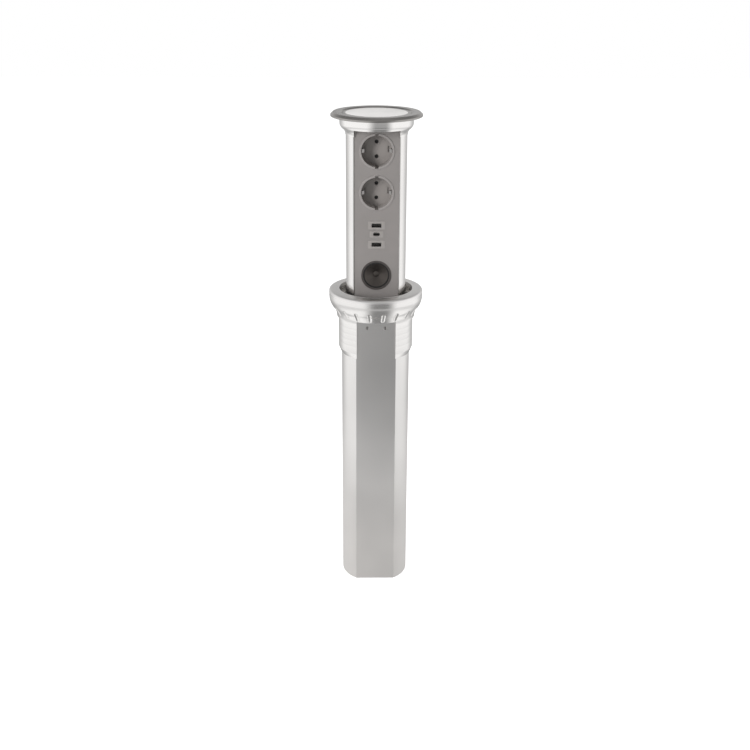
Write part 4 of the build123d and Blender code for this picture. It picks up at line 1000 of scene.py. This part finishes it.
# %% World
def studio_world():
    """A pale room with a darker strip in front, a darker back and a darker ceiling."""
    world = bpy.data.worlds.new("studio")
    scene.world = world
    world.use_nodes = True
    tree = world.node_tree
    background = tree.nodes["Background"]
    place = tree.nodes.new("ShaderNodeTexCoord").outputs["Generated"]
    parts = tree.nodes.new("ShaderNodeSeparateXYZ")
    tree.links.new(place, parts.inputs[0])
    x, y, z = parts.outputs

    # The strip: how far a direction is from its middle, in widths, which shrink to the back
    middle = maths(tree, "ADD", maths(tree, "MULTIPLY", y, STRIP_MIDDLE_LEAN), STRIP_MIDDLE)
    width = maths(tree, "ADD", maths(tree, "MULTIPLY", y, STRIP_WIDTH_LEAN), STRIP_WIDTH)
    off = maths(tree, "ABSOLUTE", maths(tree, "SUBTRACT", x, middle))
    strip = ramp(tree, maths(tree, "DIVIDE", off, width), *STRIP_SHAPE)
    strip_level = maths(tree, "MINIMUM", ramp(tree, z, *STRIP_LOW), ramp(tree, z, *STRIP_GROUND))
    strip_level = maths(tree, "MAXIMUM", strip_level, ramp(tree, z, *STRIP_HIGH))

    # The sides: bright, duller in a band above the ground, behind the object and overhead
    level = maths(tree, "SQRT", maths(tree, "ADD", maths(tree, "MULTIPLY", x, x),
                                      maths(tree, "MULTIPLY", y, y)))
    backward = maths(tree, "DIVIDE", y, maths(tree, "MAXIMUM", level, 0.01))
    behind = maths(tree, "MULTIPLY", ramp(tree, backward, *BACK_SHAPE),
                   ramp(tree, z, *BACK_DARKER))
    low = maths(tree, "MAXIMUM", ramp(tree, z, *SIDES_LOW), ramp(tree, z, *SIDES_GROUND))
    sides = maths(tree, "MULTIPLY", low, ramp(tree, z, *SIDES_CEILING))
    sides = maths(tree, "MULTIPLY", sides, maths(tree, "SUBTRACT", 1.0, behind))

    mixed = tree.nodes.new("ShaderNodeMix")
    tree.links.new(strip, mixed.inputs["Factor"])
    tree.links.new(sides, mixed.inputs["A"])
    tree.links.new(strip_level, mixed.inputs["B"])
    path = tree.nodes.new("ShaderNodeLightPath")
    strength = maths(tree, "MAXIMUM", mixed.outputs["Result"], path.outputs["Is Camera Ray"])
    tree.links.new(strength, background.inputs["Strength"])
    background.inputs["Color"].default_value = (1.0, 1.0, 1.0, 1.0)
    print("world", world.name, "with", len(tree.nodes), "nodes")


studio_world()

# %% [markdown]
# ## Lamps
#
# Two area lamps light what isn't polished: one overhead for the pad, and one from the left
# front, which leaves a soft shadow in the left half of each recess. Large lamps give soft
# shadows, as a softbox does. Both are hidden from reflections, so the metal shows the world
# alone.


# %% Lamps
def softbox(name, at, towards, width, height, power):
    """A large area lamp that looks at a point."""
    lamp = bpy.data.lights.new(name, "AREA")
    lamp.shape = "RECTANGLE"
    lamp.size, lamp.size_y = width, height
    lamp.energy = power
    made = bpy.data.objects.new(name, lamp)
    scene.collection.objects.link(made)
    made.location = at
    made.rotation_mode = "QUATERNION"
    made.rotation_quaternion = (Vector(towards) - Vector(at)).to_track_quat("-Z", "Y")
    made.visible_glossy = False
    return made


LIT_POINT = (0.0, 0.0, 0.1)
overhead = softbox("overhead_box", (0.2, -0.4, 1.9), LIT_POINT, 1.4, 1.4, 13.0)
left = softbox("left_box", (-1.2, -1.2, 0.55), LIT_POINT, 0.45, 0.9, 27.0)
print("lamps", overhead.name, overhead.data.energy, "W", left.name, left.data.energy, "W")

# %% [markdown]
# ## Floor
#
# The object stands before plain white. A pale floor just under it catches the light and keeps
# the underside from floating. To the camera alone it also glows a little, so that it blends
# into the white world instead of showing a horizon, and it is hidden from reflections.

# %% Floor
FLOOR_HALF = 6
FLOOR_GAP = 0.5 * mm
FLOOR_GLOW = 0.75
floor_height = cad_low.z - FLOOR_GAP
corners = ((-1, -1), (1, -1), (1, 1), (-1, 1))
floor_mesh = bpy.data.meshes.new("pale_floor")
floor_mesh.from_pydata(
    [(x * FLOOR_HALF, y * FLOOR_HALF, floor_height) for x, y in corners], [], [(0, 1, 2, 3)]
)
floor = bpy.data.objects.new("pale_floor", floor_mesh)
scene.collection.objects.link(floor)
floor_finish = bpy.data.materials.new("pale_floor")
floor_finish.use_nodes = True
floor_tree = floor_finish.node_tree
floor_shader = floor_tree.nodes["Principled BSDF"]
floor_shader.inputs["Base Color"].default_value = (0.86, 0.86, 0.855, 1.0)
floor_shader.inputs["Roughness"].default_value = 0.9
floor_shader.inputs["Specular IOR Level"].default_value = 0.1
floor_shader.inputs["Emission Color"].default_value = (1.0, 1.0, 1.0, 1.0)
floor_path = floor_tree.nodes.new("ShaderNodeLightPath")
floor_tree.links.new(
    maths(floor_tree, "MULTIPLY", floor_path.outputs["Is Camera Ray"], FLOOR_GLOW),
    floor_shader.inputs["Emission Strength"],
)
floor.data.materials.append(floor_finish)
floor.visible_glossy = False
print("floor at", round(floor_height / mm, 1), "mm")
